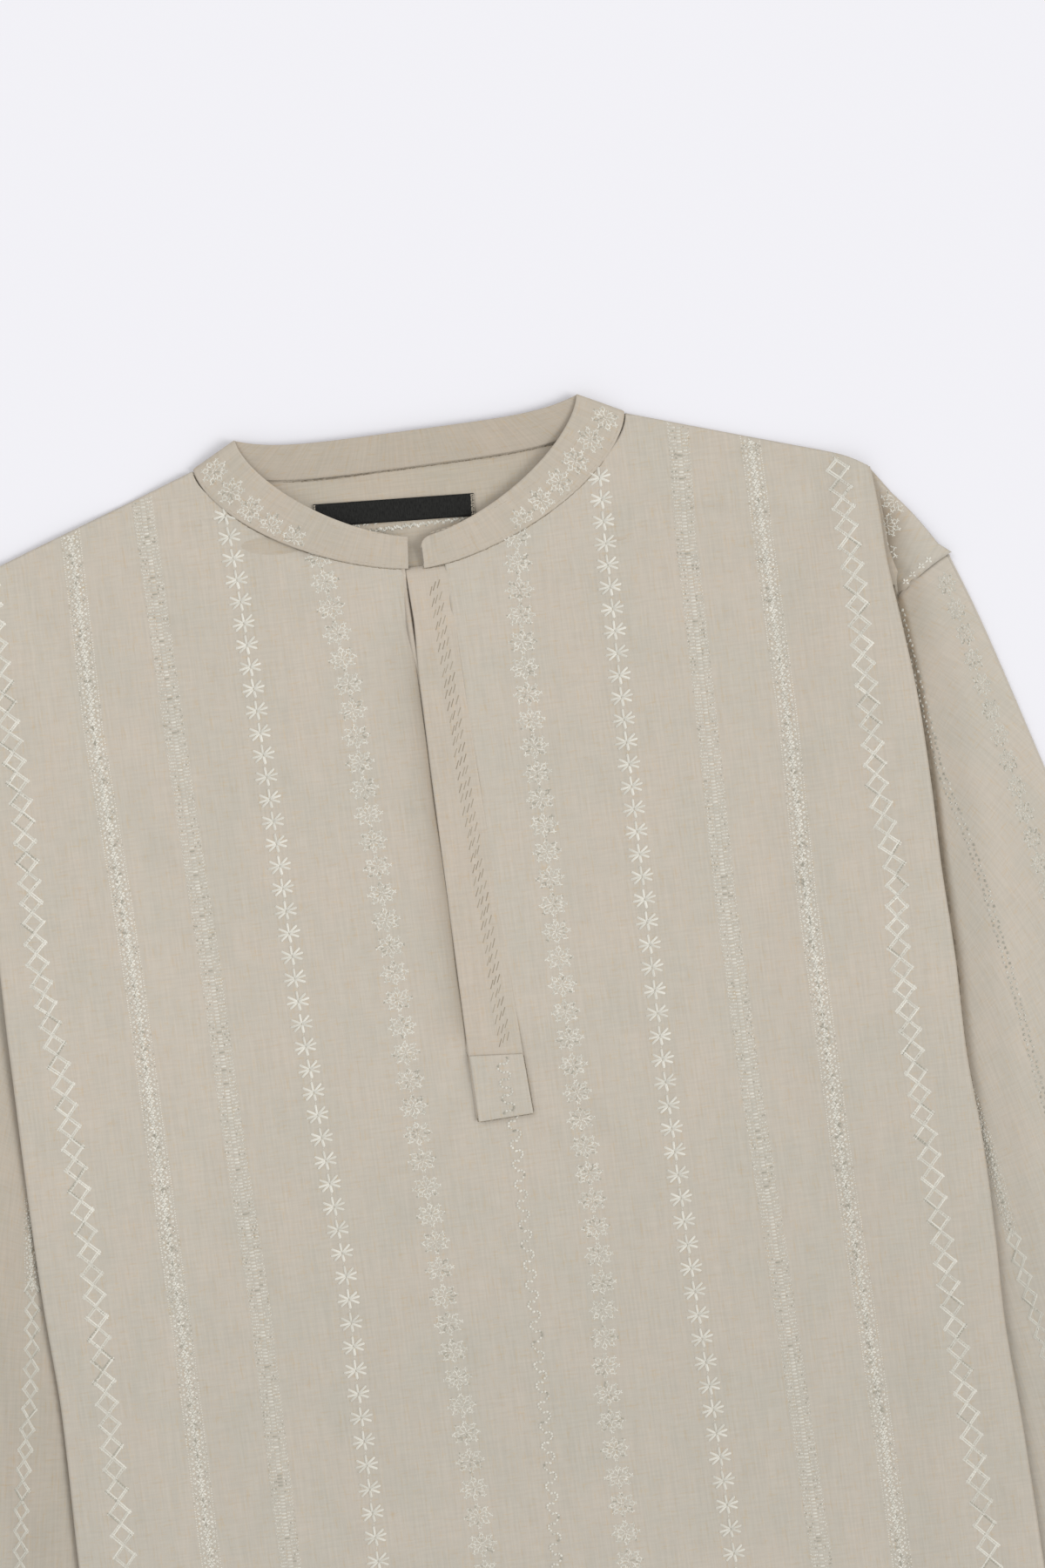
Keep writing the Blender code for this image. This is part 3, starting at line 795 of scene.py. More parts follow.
def sleeve_level(k, places, side):
    """The height of a section's upper layer: a valley along the body's fold, a long ridge and a round edge.

    The wearer's right sleeve fills out beside the fold, lower down.
    """
    x, y = places.T
    height = np.interp(k, np.arange(len(SLEEVE)), SLEEVE[:, 4])
    inside = beyond_fold(side, x, y)
    outside = np.hypot(*(places[-1] - places).T)
    to_edge = np.clip(outside / 14.0, 0, 1)
    settled = rising(k, 0.15, 0.95)
    filled = rising(-y, 190.0, 320.0) * (side < 0)
    crease = (1.45 - 1.1 * filled) * falling(inside, -0.5, 4.0)
    valley = crease * np.clip(1 + inside / 14.0, 0, 1) + 0.7 * (1 - 0.9 * filled) * bell(inside, 4.0, 16.0)
    ridge = height * smooth((inside + 2.0 + 5.0 * filled) / 42.0) * np.sqrt(np.clip(outside / 26.0, 0, 1))
    folds = wave("sleeve", x + 0.25 * y, y) * np.clip(inside / 12.0, 0, 1) * to_edge
    crest = 1.2 * bell(inside, 25.0, 9.0) * rising(k, 0.8, 2.6) * to_edge
    pad = 1.8 * filled * rising(inside, -0.8, 2.2) * falling(inside, 8.0, 42.0)
    return np.maximum(SECOND + ridge + crest + pad + (folds - valley) * settled, 1.6 * CLOTH)


def sleeve_painted_shade(k, places, side):
    """The painted shade of a section's folds: along the tight crease by the body's fold, in the valley by the
    cap, and in a faint band near the fold, high up on the wearer's left sleeve and lower down on the wearer's
    right.
    """
    x, y = places.T
    inside = beyond_fold(side, x, y)
    depth, width = (1.0, 0.32) if side > 0 else (0.12, 0.3)
    tight = depth * from_table(PAINTED_CREASE_SHADE, y) * falling(inside, 1.6, 6.2)
    wide = width * falling(inside, 5.0, 25.0) * float(bell(k, 0.2, 0.75))
    if side > 0:
        faint = 0.08 * falling(inside, 6.0, 24.0) * float(falling(k, 4.0, 6.0))
    else:
        faint = 0.26 * rising(-y, 170.0, 260.0) * rising(-inside, -60.0, -20.0)
    return np.clip(tight + wide + faint, 0, 1)


def make_sleeve(name, side, solid, material):
    rows, grain, crease = [], [], []
    inner_count, outer_count = SLEEVE_COLUMNS
    for k in np.linspace(0, len(SLEEVE) - 1, SLEEVE_ROWS):
        fine = np.linspace(0, 1, 120)
        places = sleeve_places(k, fine)
        beyond = places[:, 0] > fold_x(places[:, 1]) - 2.0
        edge = fine[np.argmax(beyond)] if beyond.any() else 0.9
        bare = edge + (1 - edge) * np.sin(np.linspace(0, 1, outer_count) * math.pi / 2)
        places = sleeve_places(k, np.concatenate([np.linspace(0, edge, inner_count)[:-1], bare]))
        over = sleeve_level(k, places, side)
        upper = places
        if k == 0:
            places, upper = places + SLEEVE_SEAM_STEPS[0], places + SLEEVE_SEAM_STEPS[1]
        turn_in = np.append(places[0], 0.0) + SLEEVE_TURN_IN
        turn_out = np.append(places[-1], 0.0) + SLEEVE_TURN_OUT
        under = np.column_stack([places, np.full(len(places), CLOTH / 2)])
        over_row = np.column_stack([upper, over])[::-1]
        ring = np.concatenate([turn_in[1:], under, turn_out, over_row, turn_in[:1]])
        ring[:, 0] *= side
        rows.append(ring)
        # Painted shade on the sleeve's upper layer.
        crease.append(np.concatenate([np.zeros(len(places) + 4), sleeve_painted_shade(k, places, side)[::-1], [0]]))
        flat = np.hypot(*(places - places[0]).T)
        across = np.concatenate([[0], flat, [flat[-1]] * 3, SLEEVE_ROUND - flat[::-1], [SLEEVE_ROUND]])
        grain.append(np.column_stack([across, np.full(len(ring), -k * SLEEVE_ROW_LENGTH)]))
    rows, grain, crease = (np.array(values)[:, ::-side] for values in (rows, grain, crease))
    piece = shell(name, rows, CLOTH, grain, material, ring=True, crease=crease)
    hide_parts(solid)
    cloth_area(np.concatenate([rows, rows[:, :1]], axis=1))


def band_front(share, side):
    seam_x, free_x = BAND_REACH * share, BAND_FREE_HALF * share
    seam_y = round_curve(seam_x, BAND_REACH, NECK_SIDE_Y, BAND_SEAM_DROP, BAND_SEAM_POWER)
    free_y = round_curve(free_x, BAND_FREE_HALF, BAND_FREE_Y, BAND_FREE_DROP, BAND_FREE_POWER)
    return (side * seam_x, seam_y, BAND_SEAM_Z), (side * free_x, free_y, THIRD + BAND_FRONT_RISE)


def band_back(share):
    reach = abs(share)
    seam_y = mix(BAND_BACK_SEAM_Y, NECK_SIDE_Y, reach**4)
    free_y = mix(BAND_BACK_FREE_Y, BAND_FREE_Y, reach**5)
    return (BAND_REACH * share, seam_y, SECOND), (BAND_FREE_HALF * share, free_y, SECOND + BAND_BACK_RISE)


def round_edges(across, full, radius):
    """The thickness of a doubled strip across it, thinner at its turned edges."""
    inset = np.minimum(across, across[-1] - across)
    return full * np.sqrt(np.clip(1 - (1 - np.clip(inset / radius, 0, 1)) ** 2, 0.06, 1.0))


def doubled_shares(turned, first, count):
    """Shares across a doubled strip, closer together at its turned edges."""
    near = np.array((0.0, *turned))
    return np.concatenate([near, np.linspace(first, 1 - first, count), 1 - near[::-1]])


BAND_ACROSS = doubled_shares((0.012, 0.035, 0.075), 0.15, 8)


def make_collar(material):
    """The band from its square end round the back of the neck to its rounded end."""
    front = 1 - (1 - np.linspace(0, 1, 44)) ** 1.5
    stations = [band_front(share, -1) for share in mix(-BAND_LEFT_END / BAND_REACH, 1.0, front)]
    stations += [band_back(share) for share in np.sin(np.linspace(-math.pi / 2, math.pi / 2, 64))]
    stations += [band_front(share, 1) for share in mix(0.055, 1.0, front)[::-1]]
    (start_x, _, _), (_, top_y, _) = stations[-1]
    for turn in np.radians(np.linspace(12, 90, 9)):
        x = mix(start_x, BAND_RIGHT_END, math.sin(turn))
        seam, _ = band_front(max(abs(x), 1.0) / BAND_REACH, 1)
        free_y = top_y - BAND_CORNER * (1 - math.cos(turn))
        stations.append(((x, seam[1], BAND_SEAM_Z), (x, free_y, THIRD + BAND_FRONT_RISE * 0.9)))
    stations = np.array(stations)
    rows = mix(stations[:, :1], stations[:, 1:], BAND_ACROSS[None, :, None])
    rows[..., 2] += BAND_CROWN * np.sin(math.pi * BAND_ACROSS)
    run = run_along(stations.mean(1))
    grain = np.stack(np.broadcast_arrays(run[:, None], BAND_WIDTH * BAND_ACROSS[None, :]), axis=2)
    thickness = round_edges(BAND_ACROSS * BAND_WIDTH, DOUBLED, TURNED_RADIUS)
    at_back = stations[:, :1, 2] < SECOND + 0.1
    # Painted shade over the back of the band, which lies inside the neck.
    crease = np.broadcast_to(0.2 * rising(stations[:, :1, 1], 50.0, 60.0) * at_back, rows.shape[:2])
    piece = shell("Collar", rows[:, ::-1], thickness[::-1], grain[:, ::-1], material, crease=crease)
    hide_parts("collar_band")
    cloth_area(rows)


def height_map(cloud, step=2.0):
    """The height of a surface at any place, read from points spread over it; its outside is lowest."""
    low = cloud[:, :2].min(0) - 3 * step
    size = ((cloud[:, :2].max(0) - low) / step).astype(int) + 4
    total, count = np.zeros((size[1], size[0])), np.zeros((size[1], size[0]))
    spot = ((cloud[:, :2] - low) / step).round().astype(int)
    np.add.at(total, (spot[:, 1], spot[:, 0]), cloud[:, 2])
    np.add.at(count, (spot[:, 1], spot[:, 0]), 1)
    for _ in range(4):
        filled = np.where(count > 0, total / np.maximum(count, 1), 0.0)
        near_total, near_count = np.zeros_like(total), np.zeros_like(count)
        for axis, shift in ((0, 1), (0, -1), (1, 1), (1, -1)):
            near_total += np.roll(filled, shift, axis)
            near_count += np.roll((count > 0).astype(float), shift, axis)
        empty = (count == 0) & (near_count > 0)
        total = np.where(empty, near_total / np.maximum(near_count, 1), filled)
        count = ((count > 0) | empty).astype(float)

    def surface(x, y):
        gx = np.clip((np.asarray(x) - low[0]) / step, 0, size[0] - 1.001)
        gy = np.clip((np.asarray(y) - low[1]) / step, 0, size[1] - 1.001)
        ix, iy = gx.astype(int), gy.astype(int)
        fx, fy = gx - ix, gy - iy
        top = mix(total[iy, ix], total[iy, ix + 1], fx)
        return mix(top, mix(total[iy + 1, ix], total[iy + 1, ix + 1], fx), fy)

    return surface


def collar_front_surface():
    """The upper face of the band's front, as a height at any place."""
    across = np.linspace(0, 1, 40)[:, None]
    points = []
    for side in (-1, 1):
        for share in np.linspace(0.0, 1.0, 300):
            seam, free = (np.array(place) for place in band_front(share, side))
            line = mix(seam, free, across)
            line[:, 2] += BAND_CROWN * np.sin(math.pi * across[:, 0]) + DOUBLED / 2
            points.append(line)
    return height_map(np.concatenate(points))


def placket_edges(y):
    down = np.clip((PLACKET_TOP_Y - y) / (PLACKET_TOP_Y - BOX_TOP_Y), 0, 1)
    lap = 1.3 * (1 - smooth(down / 0.3))
    return from_table(PLACKET_LEFT, y), mix(*PLACKET_RIGHT, down) - 1.0 + lap


def placket_middle(x, y):
    """The level of the upper strip's middle, whose free left edge stands a little off the under strip."""
    down = (PLACKET_TOP_Y - y) / (PLACKET_TOP_Y - BOX_TOP_Y)
    left, right = placket_edges(y)
    across = np.clip((x - left) / (right - left), 0, 1)
    raised = PLACKET_LIFT * smooth(down / 0.05) * smooth((1 - down) / 0.08)
    raised = raised * mix(1.0, 0.1, rising(down, 0.08, 0.2))
    settled = 0.4 * rising(across, 0.55, 0.95) * smooth((1 - down) / 0.1)
    tucked = PLACKET_TUCK * rising(y, -1.5, 2.0)
    level = THIRD - 0.15 - settled - tucked + raised * (1 - across) ** 2
    return level + wave("placket", x, y) * smooth(-y / 6.0)


def make_placket_over(material):
    shares = doubled_shares((0.012, 0.035, 0.07), 0.13, 10)
    rows = []
    for y in np.linspace(PLACKET_TOP_Y + 3.0, BOX_END_Y + 2.0, 96):
        x = mix(*placket_edges(y), shares)
        rows.append(np.stack([x, np.full_like(x, y), placket_middle(x, y)], axis=1))
    rows = np.array(rows)
    thickness = round_edges(shares * 25.0, DOUBLED, TURNED_RADIUS) * (1 - 0.5 * rising(shares, 0.84, 0.98))
    piece = shell("PlacketOver", rows, thickness, rows[..., :2] + (700, 0), material)
    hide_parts("placket_over")
    cloth_area(rows)


# The roll of the under strip's turned edge: x and height.
UNDER_ROLL = np.array((
    (-14.2, 2.4), (-13.4, 2.9), (-12.6, 3.2), (-11.9, 3.25), (-11.5, 2.9), (-11.6, 2.0), (-12.0, 1.15)))
UNDER_FLAT = np.linspace(-10.5, 9.9, 7)


def make_placket_under(material):
    """The under strip, whose turned edge shows as a narrow roll along the left side of the slit."""
    rows = []
    for y in np.linspace(3.5, SLIT_END_Y + 1.0, 80):
        down = (PLACKET_TOP_Y - y) / (PLACKET_TOP_Y - SLIT_END_Y)
        closed = float(rising(down, 0.1, 0.2))
        level = UNDER_ROLL[:, 1] + 0.1 * math.sin(y / 9.0) - 0.55 * closed
        x = np.concatenate([UNDER_ROLL[:, 0] + 0.7 * closed, UNDER_FLAT])
        z = np.concatenate([level, np.full(len(UNDER_FLAT), mix(1.05, 1.9, closed))])
        rows.append(np.stack([x, np.full_like(x, y), z], axis=1))
    rows = np.array(rows)
    piece = shell("PlacketUnder", rows, CLOTH, rows[..., :2] + (900, 0), material)
    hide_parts("placket_under")
    cloth_area(rows)


def box_middle(x, y):
    return THIRD + BOX_LIFT + wave("box", x, y)


def make_box(material):
    shares = doubled_shares((0.012, 0.03, 0.06), 0.12, 11)
    left_top, right_top, left_end, right_end = (np.array(corner) for corner in BOX_CORNERS)
    rows = []
    for down in shares:
        places = mix(mix(left_top, left_end, down), mix(right_top, right_end, down), shares[:, None])
        rows.append(np.column_stack([places, box_middle(*places.T)]))
    rows = np.array(rows)
    thickness = round_edges(shares * 30.0, DOUBLED, TURNED_RADIUS)
    thickness = np.minimum(thickness[:, None], thickness[None, :])
    piece = shell("PlacketBox", rows, thickness, rows[..., :2] + (400, 0), material)
    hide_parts("placket_box")
    cloth_area(rows)


def label_place(u, v):
    """The place on the shirt of a point of the label, u along its middle and v across it."""
    cos, sin = math.cos(LABEL_TILT), math.sin(LABEL_TILT)
    return LABEL_CENTRE[0] + u * cos - v * sin, LABEL_CENTRE[1] + u * sin + v * cos


def label_level(x, y):
    return SECOND - 0.35 + wave("label", x, y)


def make_label(material):
    wide, tall = LABEL_SIZE[0] / 2, LABEL_SIZE[1] / 2
    v, u = np.meshgrid(np.linspace(tall, -tall, 9), np.linspace(-wide, wide, 45), indexing="ij")
    x, y = label_place(u, v)
    rows = np.stack([x, y, label_level(x, y)], axis=2)
    piece = shell("NeckLabel", rows, TAPE, np.stack([u, v], axis=2), material)
    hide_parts("neck_label")


# Embroidery.


BURIED = 0.05
JITTER = 0.09
NEEDLE_HOLE = 0.15
# A stitch has eight points: its first end, three across near it, three near the other end, and that end.
STITCH_POINTS = 8
STITCH_TRIS = np.array(((0, 2, 1), (0, 3, 2), (7, 4, 5), (7, 5, 6)))
STITCH_QUADS = np.array(((1, 2, 5, 4), (2, 3, 6, 5)))


class Threads:
    """Stitches raised over a surface, gathered as bars between two places on it."""

    def __init__(self, surface, seed, side=1.0, light=1.0, squash=1.0):
        self.surface = surface
        self.side = side
        self.light = light
        self.squash = squash
        self.random = np.random.default_rng(seed)
        self.bars = []

    def add(self, bars, centre, along, tone):
        """Bars are rows of u0, v0, u1, v1, width and height, with v along the stripe.

        The tone is the least and most light, and the share of needle holes. Stitches low down are duller.
        """
        bars = np.asarray(bars, float)
        along = np.asarray(along) / np.hypot(*along)
        across = np.array((along[1], -along[0]))
        jitter = self.random.normal(0, JITTER, (len(bars), 4))
        ends = bars[:, :4] * (self.squash, 1.0, self.squash, 1.0) + jitter
        start = centre + ends[:, :1] * across + ends[:, 1:2] * along
        end = centre + ends[:, 2:3] * across + ends[:, 3:4] * along
        dull = mix(1.0, 0.87, float(rising(-centre[1], 250.0, 450.0)))
        least, most, holes = tone
        tones = self.random.uniform(least, most, len(bars)) * self.light * dull
        tones[self.random.uniform(0, 1, len(bars)) < holes] *= NEEDLE_HOLE
        self.bars.append(np.column_stack([start, end, bars[:, 4:6], tones]))

    def mesh(self, name, material, clip=None):
        """One piece of all the bars whose two ends the clip keeps."""
        bars = np.concatenate(self.bars)
        if clip is not None:
            bars = bars[clip(bars[:, 0], bars[:, 1]) & clip(bars[:, 2], bars[:, 3])]
        start, end, width, height, tones = bars[:, :2], bars[:, 2:4], bars[:, 4], bars[:, 5], bars[:, 6]
        length = np.hypot(*(end - start).T)
        along = (end - start) / np.maximum(length, 1e-6)[:, None]
        inset = np.minimum(0.3, 0.45 * width / np.maximum(length, 0.1))[:, None]
        near, far = mix(start, end, inset), mix(start, end, 1 - inset)
        half = np.stack([along[:, 1], -along[:, 0]], axis=1) * width[:, None] / 2
        flat = np.stack([start, near - half, near, near + half, far - half, far, far + half, end], axis=1)
        lift = np.full((len(bars), STITCH_POINTS), -BURIED)
        lift[:, [2, 5]] = height[:, None]
        ground = self.surface(flat[..., 0], flat[..., 1])
        points = np.concatenate([flat, (ground + self.side * lift)[..., None]], axis=2).reshape(-1, 3)
        first = np.arange(len(bars))[:, None, None] * STITCH_POINTS
        tris = (first + STITCH_TRIS).reshape(-1, 3)
        quads = (first + STITCH_QUADS).reshape(-1, 4)
        if self.side < 0:
            tris, quads = tris[:, ::-1], quads[:, ::-1]
        piece = add_piece(name, points, tris.tolist() + quads.tolist(), material)
        set_values(piece.data, "tone", np.repeat(tones, STITCH_POINTS))


# Each motif gives its bars round its middle. It is told its stripe's pitch there, though the fine ladder and
# the flower keep one size.


def ray(angle, start, end, width, height):
    """A bar outwards from a motif's middle."""
    u, v = math.cos(math.radians(angle)), math.sin(math.radians(angle))
    return (u * start, v * start, u * end, v * end, width, height)


STAR_PETALS = ((92, 5.9), (40, 6.5), (11, 6.6), (-24, 6.2), (-143, 6.2), (-172, 6.6), (149, 6.5))


def star(pitch):
    petals = [ray(angle, 0.2, reach, 1.3, 0.78) for angle, reach in STAR_PETALS]
    return petals + [ray(-84, 0.6, 5.3, 1.6, 0.82), (0.0, -5.6, 0.0, -pitch + 6.4, 0.4, 0.2)]


def diamond(pitch):
    """Two lines along each side, with short stitches across them."""
    wide, tall = 5.3, pitch / 2 - 0.2
    size = math.hypot(wide, tall)
    bars = []
    for s, t in itertools.product((-1, 1), repeat=2):
        du, dv = s * wide / size, -t * tall / size
        for shift in (-0.5, 0.5):
            u, v = -dv * shift, du * shift + t * tall
            reach = size + 1.5
            bars.append((u - du * 0.5, v - dv * 0.5, u + du * reach, v + dv * reach, 0.85, 0.36))
        for place in np.arange(0.9, size, 1.5):
            u, v = du * place, t * tall + dv * place
            bars.append((u - dv * 0.9, v + du * 0.9, u + dv * 0.9, v - du * 0.9, 0.6, 0.4))
    return bars + [(0, -tall - 0.2, 0, -tall - 0.9, 0.8, 0.3)]


ZIGZAG = ((1.6, 0.1), (2.5, 0.9), (3.4, 0.1), (4.3, 0.9), (5.2, 0.2))


def ladder_fine(pitch):
    """A rung and half a pitch of zigzag on each side of it."""
    bars = [(-1.5, 0, 1.5, 0, 1.05, 0.45)]
    for s in (-1, 1):
        for (u0, v0), (u1, v1) in zip(ZIGZAG, ZIGZAG[1:]):
            bars.append((s * u0, v0, s * u1, v1, 0.9, 0.38))
        bars.append((s * 5.2, 0.9, s * 5.8, 1.4, 0.75, 0.32))
    return bars


def ladder_bold(pitch):
    """Rosettes with small crosses between and beside them, and a broken edge."""
    bars = [ray(angle, 0.3, 2.7, 1.0, 0.65) for angle in range(30, 390, 60)]
    for angle in (45, 135, 225, 315):
        u0, v0, u1, v1, width, height = ray(angle, 0.2, 1.7, 0.85, 0.6)
        bars.append((u0, v0 + pitch / 2, u1, v1 + pitch / 2, width, height))
    for s in (-1, 1):
        for u, v in ((3.5, 0.0), (3.2, pitch / 2)):
            for lean in (0.7, -0.7):
                bars.append((s * (u - 0.8), v - lean, s * (u + 0.7), v + lean, 0.65, 0.42))
        for v in (-0.25 * pitch, 0.0, 0.25 * pitch, 0.5 * pitch):
            bars.append((s * 4.6, v, s * 5.5, v + 0.4, 0.55, 0.3))
    return bars


def flower(pitch):
    """Eight forked petals round a small eye, a little wider than tall."""
    bars = [ray(angle, 0.4, 1.6, 0.7, 0.3) for angle in range(0, 360, 60)]
    for angle in range(0, 360, 45):
        turn = math.radians(angle)
        du, dv = math.cos(turn), math.sin(turn)
        bars.append((1.3 * du, 1.3 * dv, 3.3 * du, 3.3 * dv, 0.7, 0.32))
        for lean in (-1, 1):
            u, v = 5.0 * du - 1.3 * lean * dv, 5.0 * dv + 1.3 * lean * du
            bars.append((3.0 * du, 3.0 * dv, u, v, 0.78, 0.36))
            bars.append((u, v, 6.6 * du, 6.6 * dv, 0.78, 0.36))
            end_u, end_v = 7.4 * du - 0.9 * lean * dv, 7.4 * dv + 0.9 * lean * du
            bars.append((6.4 * du, 6.4 * dv, end_u, end_v, 0.72, 0.32))
            bars.append((u * 0.98, v * 0.98, u * 1.14, v * 1.14, 0.7, 0.32))
        bars.append(ray(angle + 22.5, 3.4, 4.8, 0.75, 0.3))
    return np.array(bars) * (1.1, 0.92, 1.1, 0.92, 1.0, 1.0)


def curls(pitch):
    """Two hooks of a winding line, open where they cross its middle."""
    bars = []
    turns = np.radians((-78, -38, 5, 48, 88, 140))
    for side, middle in ((1, pitch / 4), (-1, -pitch / 4)):
        u, v = side * (0.7 + 2.5 * np.cos(turns)), middle + 2.3 * np.sin(turns)
        for k in range(len(turns) - 1):
            bars.append((u[k], v[k], u[k + 1], v[k + 1], 1.2, 0.85))
    return bars


def knots(pitch):
    """Small knots, close together on two sides of a line."""
    bars = []
    for k, u in enumerate((-2.5, 1.9, -1.6, 2.7, -2.1, 1.6)):
        v = pitch * (0.42 - k / 6)
        bars.append((u - 1.1, v - 0.6, u + 1.0, v + 0.7, 0.95, 0.5))
        bars.append((u - 0.4, v + 0.9, u + 0.6, v - 0.9, 0.85, 0.5))
    return bars


# Each kind of stripe: its motif, its pitch at the top of the shirt and at the hem, the least and most light of
# its stitches, and the share of them that are needle holes.
MOTIFS = {
    "star": (star, (11.9, 13.6), (0.66, 0.93, 0.0)),
    "diamond": (diamond, (10.6, 12.6), (0.5, 0.95, 0.06)),
    "fine": (ladder_fine, (1.85, 1.95), (0.4, 0.82, 0.08)),
    "bold": (ladder_bold, (5.3, 5.5), (0.6, 1.05, 0.07)),
    "flower": (flower, (14.2, 15.8), (0.45, 0.9, 0.08)),
    "curls": (curls, (11.0, 11.4), (0.6, 1.0, 0.06)),
    "tucked": (knots, (8.6, 9.0), (0.15, 1.0, 0.3)),
}
PITCH_RUN = 720.0
FLOWER_TONE = MOTIFS["flower"][2]

# Each stripe's kind and its line down the shirt, as y and x, from the wearer's right to left.
FRONT_STRIPES = (
    ("diamond", (
        (45, -238), (-20, -238), (-100, -236), (-185, -239), (-250, -234), (-350, -232), (-500, -235),
        (-675, -235))),
    ("bold", ((55, -190), (-60, -192), (-150, -189), (-200, -188), (-400, -188), (-500, -189), (-675, -189))),
    ("fine", ((65, -149), (-100, -148), (-200, -146), (-300, -146), (-380, -144), (-500, -146), (-675, -147))),
    ("star", (
        (45, -105), (0, -103), (-150, -101), (-230, -101), (-280, -99), (-380, -95), (-430, -97),
        (-675, -101))),
    ("flower", (
        (16, -57), (-60, -50), (-100, -50), (-200, -47), (-300, -46), (-450, -42), (-530, -41), (-675, -41))),
    ("curls", ((-303, 7), (-340, 6), (-420, 4), (-500, 1), (-545, -2), (-675, -4))),
    ("flower", ((12, 51), (-60, 46), (-150, 45), (-250, 43), (-350, 44), (-400, 43), (-450, 38), (-675, 37))),
    ("star", ((50, 101), (0, 99), (-100, 96), (-200, 94), (-290, 92), (-380, 92), (-480, 94), (-675, 96))),
    ("fine", ((63, 147), (0, 143), (-100, 141), (-200, 138), (-300, 138), (-400, 140), (-675, 143))),
    ("bold", ((50, 185), (-100, 185), (-200, 182), (-350, 182), (-450, 184), (-675, 186))),
    ("diamond", (
        (36, 230), (-40, 231), (-150, 228), (-200, 232), (-230, 228), (-300, 228), (-400, 230), (-675, 234))),
)

LEFT_SLEEVE_STRIPES = (
    ("tucked", (
        (-58, 254), (-100, 259), (-145, 264), (-185, 274), (-210, 279), (-270, 288), (-320, 294), (-595, 335))),
    ("flower", ((-45, 281), (-72, 287), (-95, 291), (-115, 295), (-155, 303), (-260, 320), (-595, 372))),
    ("bold", ((-300, 252), (-350, 262), (-380, 266), (-405, 269))),
    ("diamond", ((-405, 269), (-440, 274), (-500, 284), (-595, 299))),
)

RIGHT_SLEEVE_STRIPES = (
    ("tucked", (
        (-58, 254), (-100, 259), (-145, 264), (-185, 274), (-210, 279), (-270, 296), (-320, 306), (-595, 345))),
    ("flower", ((-45, 281), (-72, 287), (-95, 291), (-115, 295), (-155, 303), (-260, 328), (-595, 380))),
    ("bold", ((-300, 258), (-330, 263), (-360, 266))),
    ("diamond", ((-360, 266), (-390, 270), (-420, 275), (-450, 282), (-480, 288), (-595, 306))),
)

COLLAR_STRIPES = (
    ((72, -109), (62, -103), (50, -94), (38, -84), (28, -71), (21, -60)),
    ((72, 110), (62, 101), (50, 90), (40, 80), (30, 68), (20, 56)),
)


def sew_stripe(threads, kind, table, flip=1.0):
    """Repeats a motif down a stripe."""
    motif, pitches, tone = MOTIFS[kind]
    top, last = float(table[0][0]), table[-1][0]
    y = top
    while y > last:
        pitch = float(np.interp((top - y) / PITCH_RUN, (0, 1), pitches))
        x, ahead, behind = (float(from_table(table, y + step)) for step in (0, 6, -6))
        threads.add(motif(pitch), np.array((flip * x, y)), (flip * (ahead - behind), 12.0), tone)
        y -= pitch


def on_front(x, y):
    under_band = np.where(np.abs(x) < FRONT_NECK_HALF - 3.0, 2.4, -0.8)
    return (y < front_top_y(x) + under_band) & (np.abs(x) < fold_x(y) - 1.5) & (y > HEM_Y + 1.0)


def embroider_front(material):
    for name, side in (("EmbroideryFrontRight", -1), ("EmbroideryFrontLeft", 1)):
        threads = Threads(front_surface, 31)
        for kind, table in FRONT_STRIPES:
            if table[0][1] * side > 0:
                sew_stripe(threads, kind, table)
        threads.mesh(name, material, on_front)


def sleeve_surface(side):
    """The upper face of a sleeve outside the body's fold, as a height at any place."""
    points = []
    for k in np.linspace(0, len(SLEEVE) - 1, 300):
        places = sleeve_places(k, np.linspace(0, 1, 120))
        level = sleeve_level(k, places, side)
        points.append(np.column_stack([side * places[:, 0], places[:, 1], level + CLOTH / 2]))
    return height_map(np.concatenate(points))


def embroider_sleeve(name, side, stripes, material):
    threads = Threads(sleeve_surface(side), 41 + side, light=0.73, squash=0.66)
    for kind, table in stripes:
        sew_stripe(threads, kind, table, flip=side)

    def on_sleeve(x, y):
        reach = np.abs(x)
        outer = curve_through(-SLEEVE[:, 1], SLEEVE[:, 0], -y)
        return (reach < outer - 0.8) & (reach > fold_x(y) - 4.0) & (y > -599.0)

    threads.mesh(name, material, on_sleeve)


# Flowers over each cap, as reach and y, and the shares of the armhole where stitches run into its seam.
CAP_FLOWERS = ((259.0, 4.0), (252.5, -8.5), (249.0, -23.0))
CAP_STITCHES = (0.905, 0.925, 0.948, 0.965)


def embroider_caps(caps, material):
    """The flowers over each shoulder's corner, and the stitches that run into the sleeve's seam."""
    seam = armhole(np.linspace(0.8, 1.0, 60))

    def on_cap(x, y):
        reach = np.abs(x)
        below = np.interp(reach, seam[:, 0], seam[:, 1])
        return (reach > fold_x(y) + 0.8) & (y > below + 1.0) & (y < 20.5 - 1.5 * (reach - 250.0))

    for side, name in ((1, "EmbroideryCapLeft"), (-1, "EmbroideryCapRight")):
        threads = Threads(height_map(caps * (side, 1, 1) + (0, 0, CLOTH / 2)), 55 + side, light=0.95)
        for x, y in CAP_FLOWERS:
            threads.add(flower(14.0), np.array((side * x, y)), (side * 0.45, 1.0), FLOWER_TONE)
        for x, y in armhole(CAP_STITCHES):
            threads.add([ray(angle, 0.2, 2.1, 1.0, 0.6) for angle in (20, 95, 170, 260)],
                        np.array((side * (x - 0.6), y + 3.4)), (1.0, 0.7 * side), (0.85, 1.05, 0.0))
        threads.mesh(name, material, on_cap)


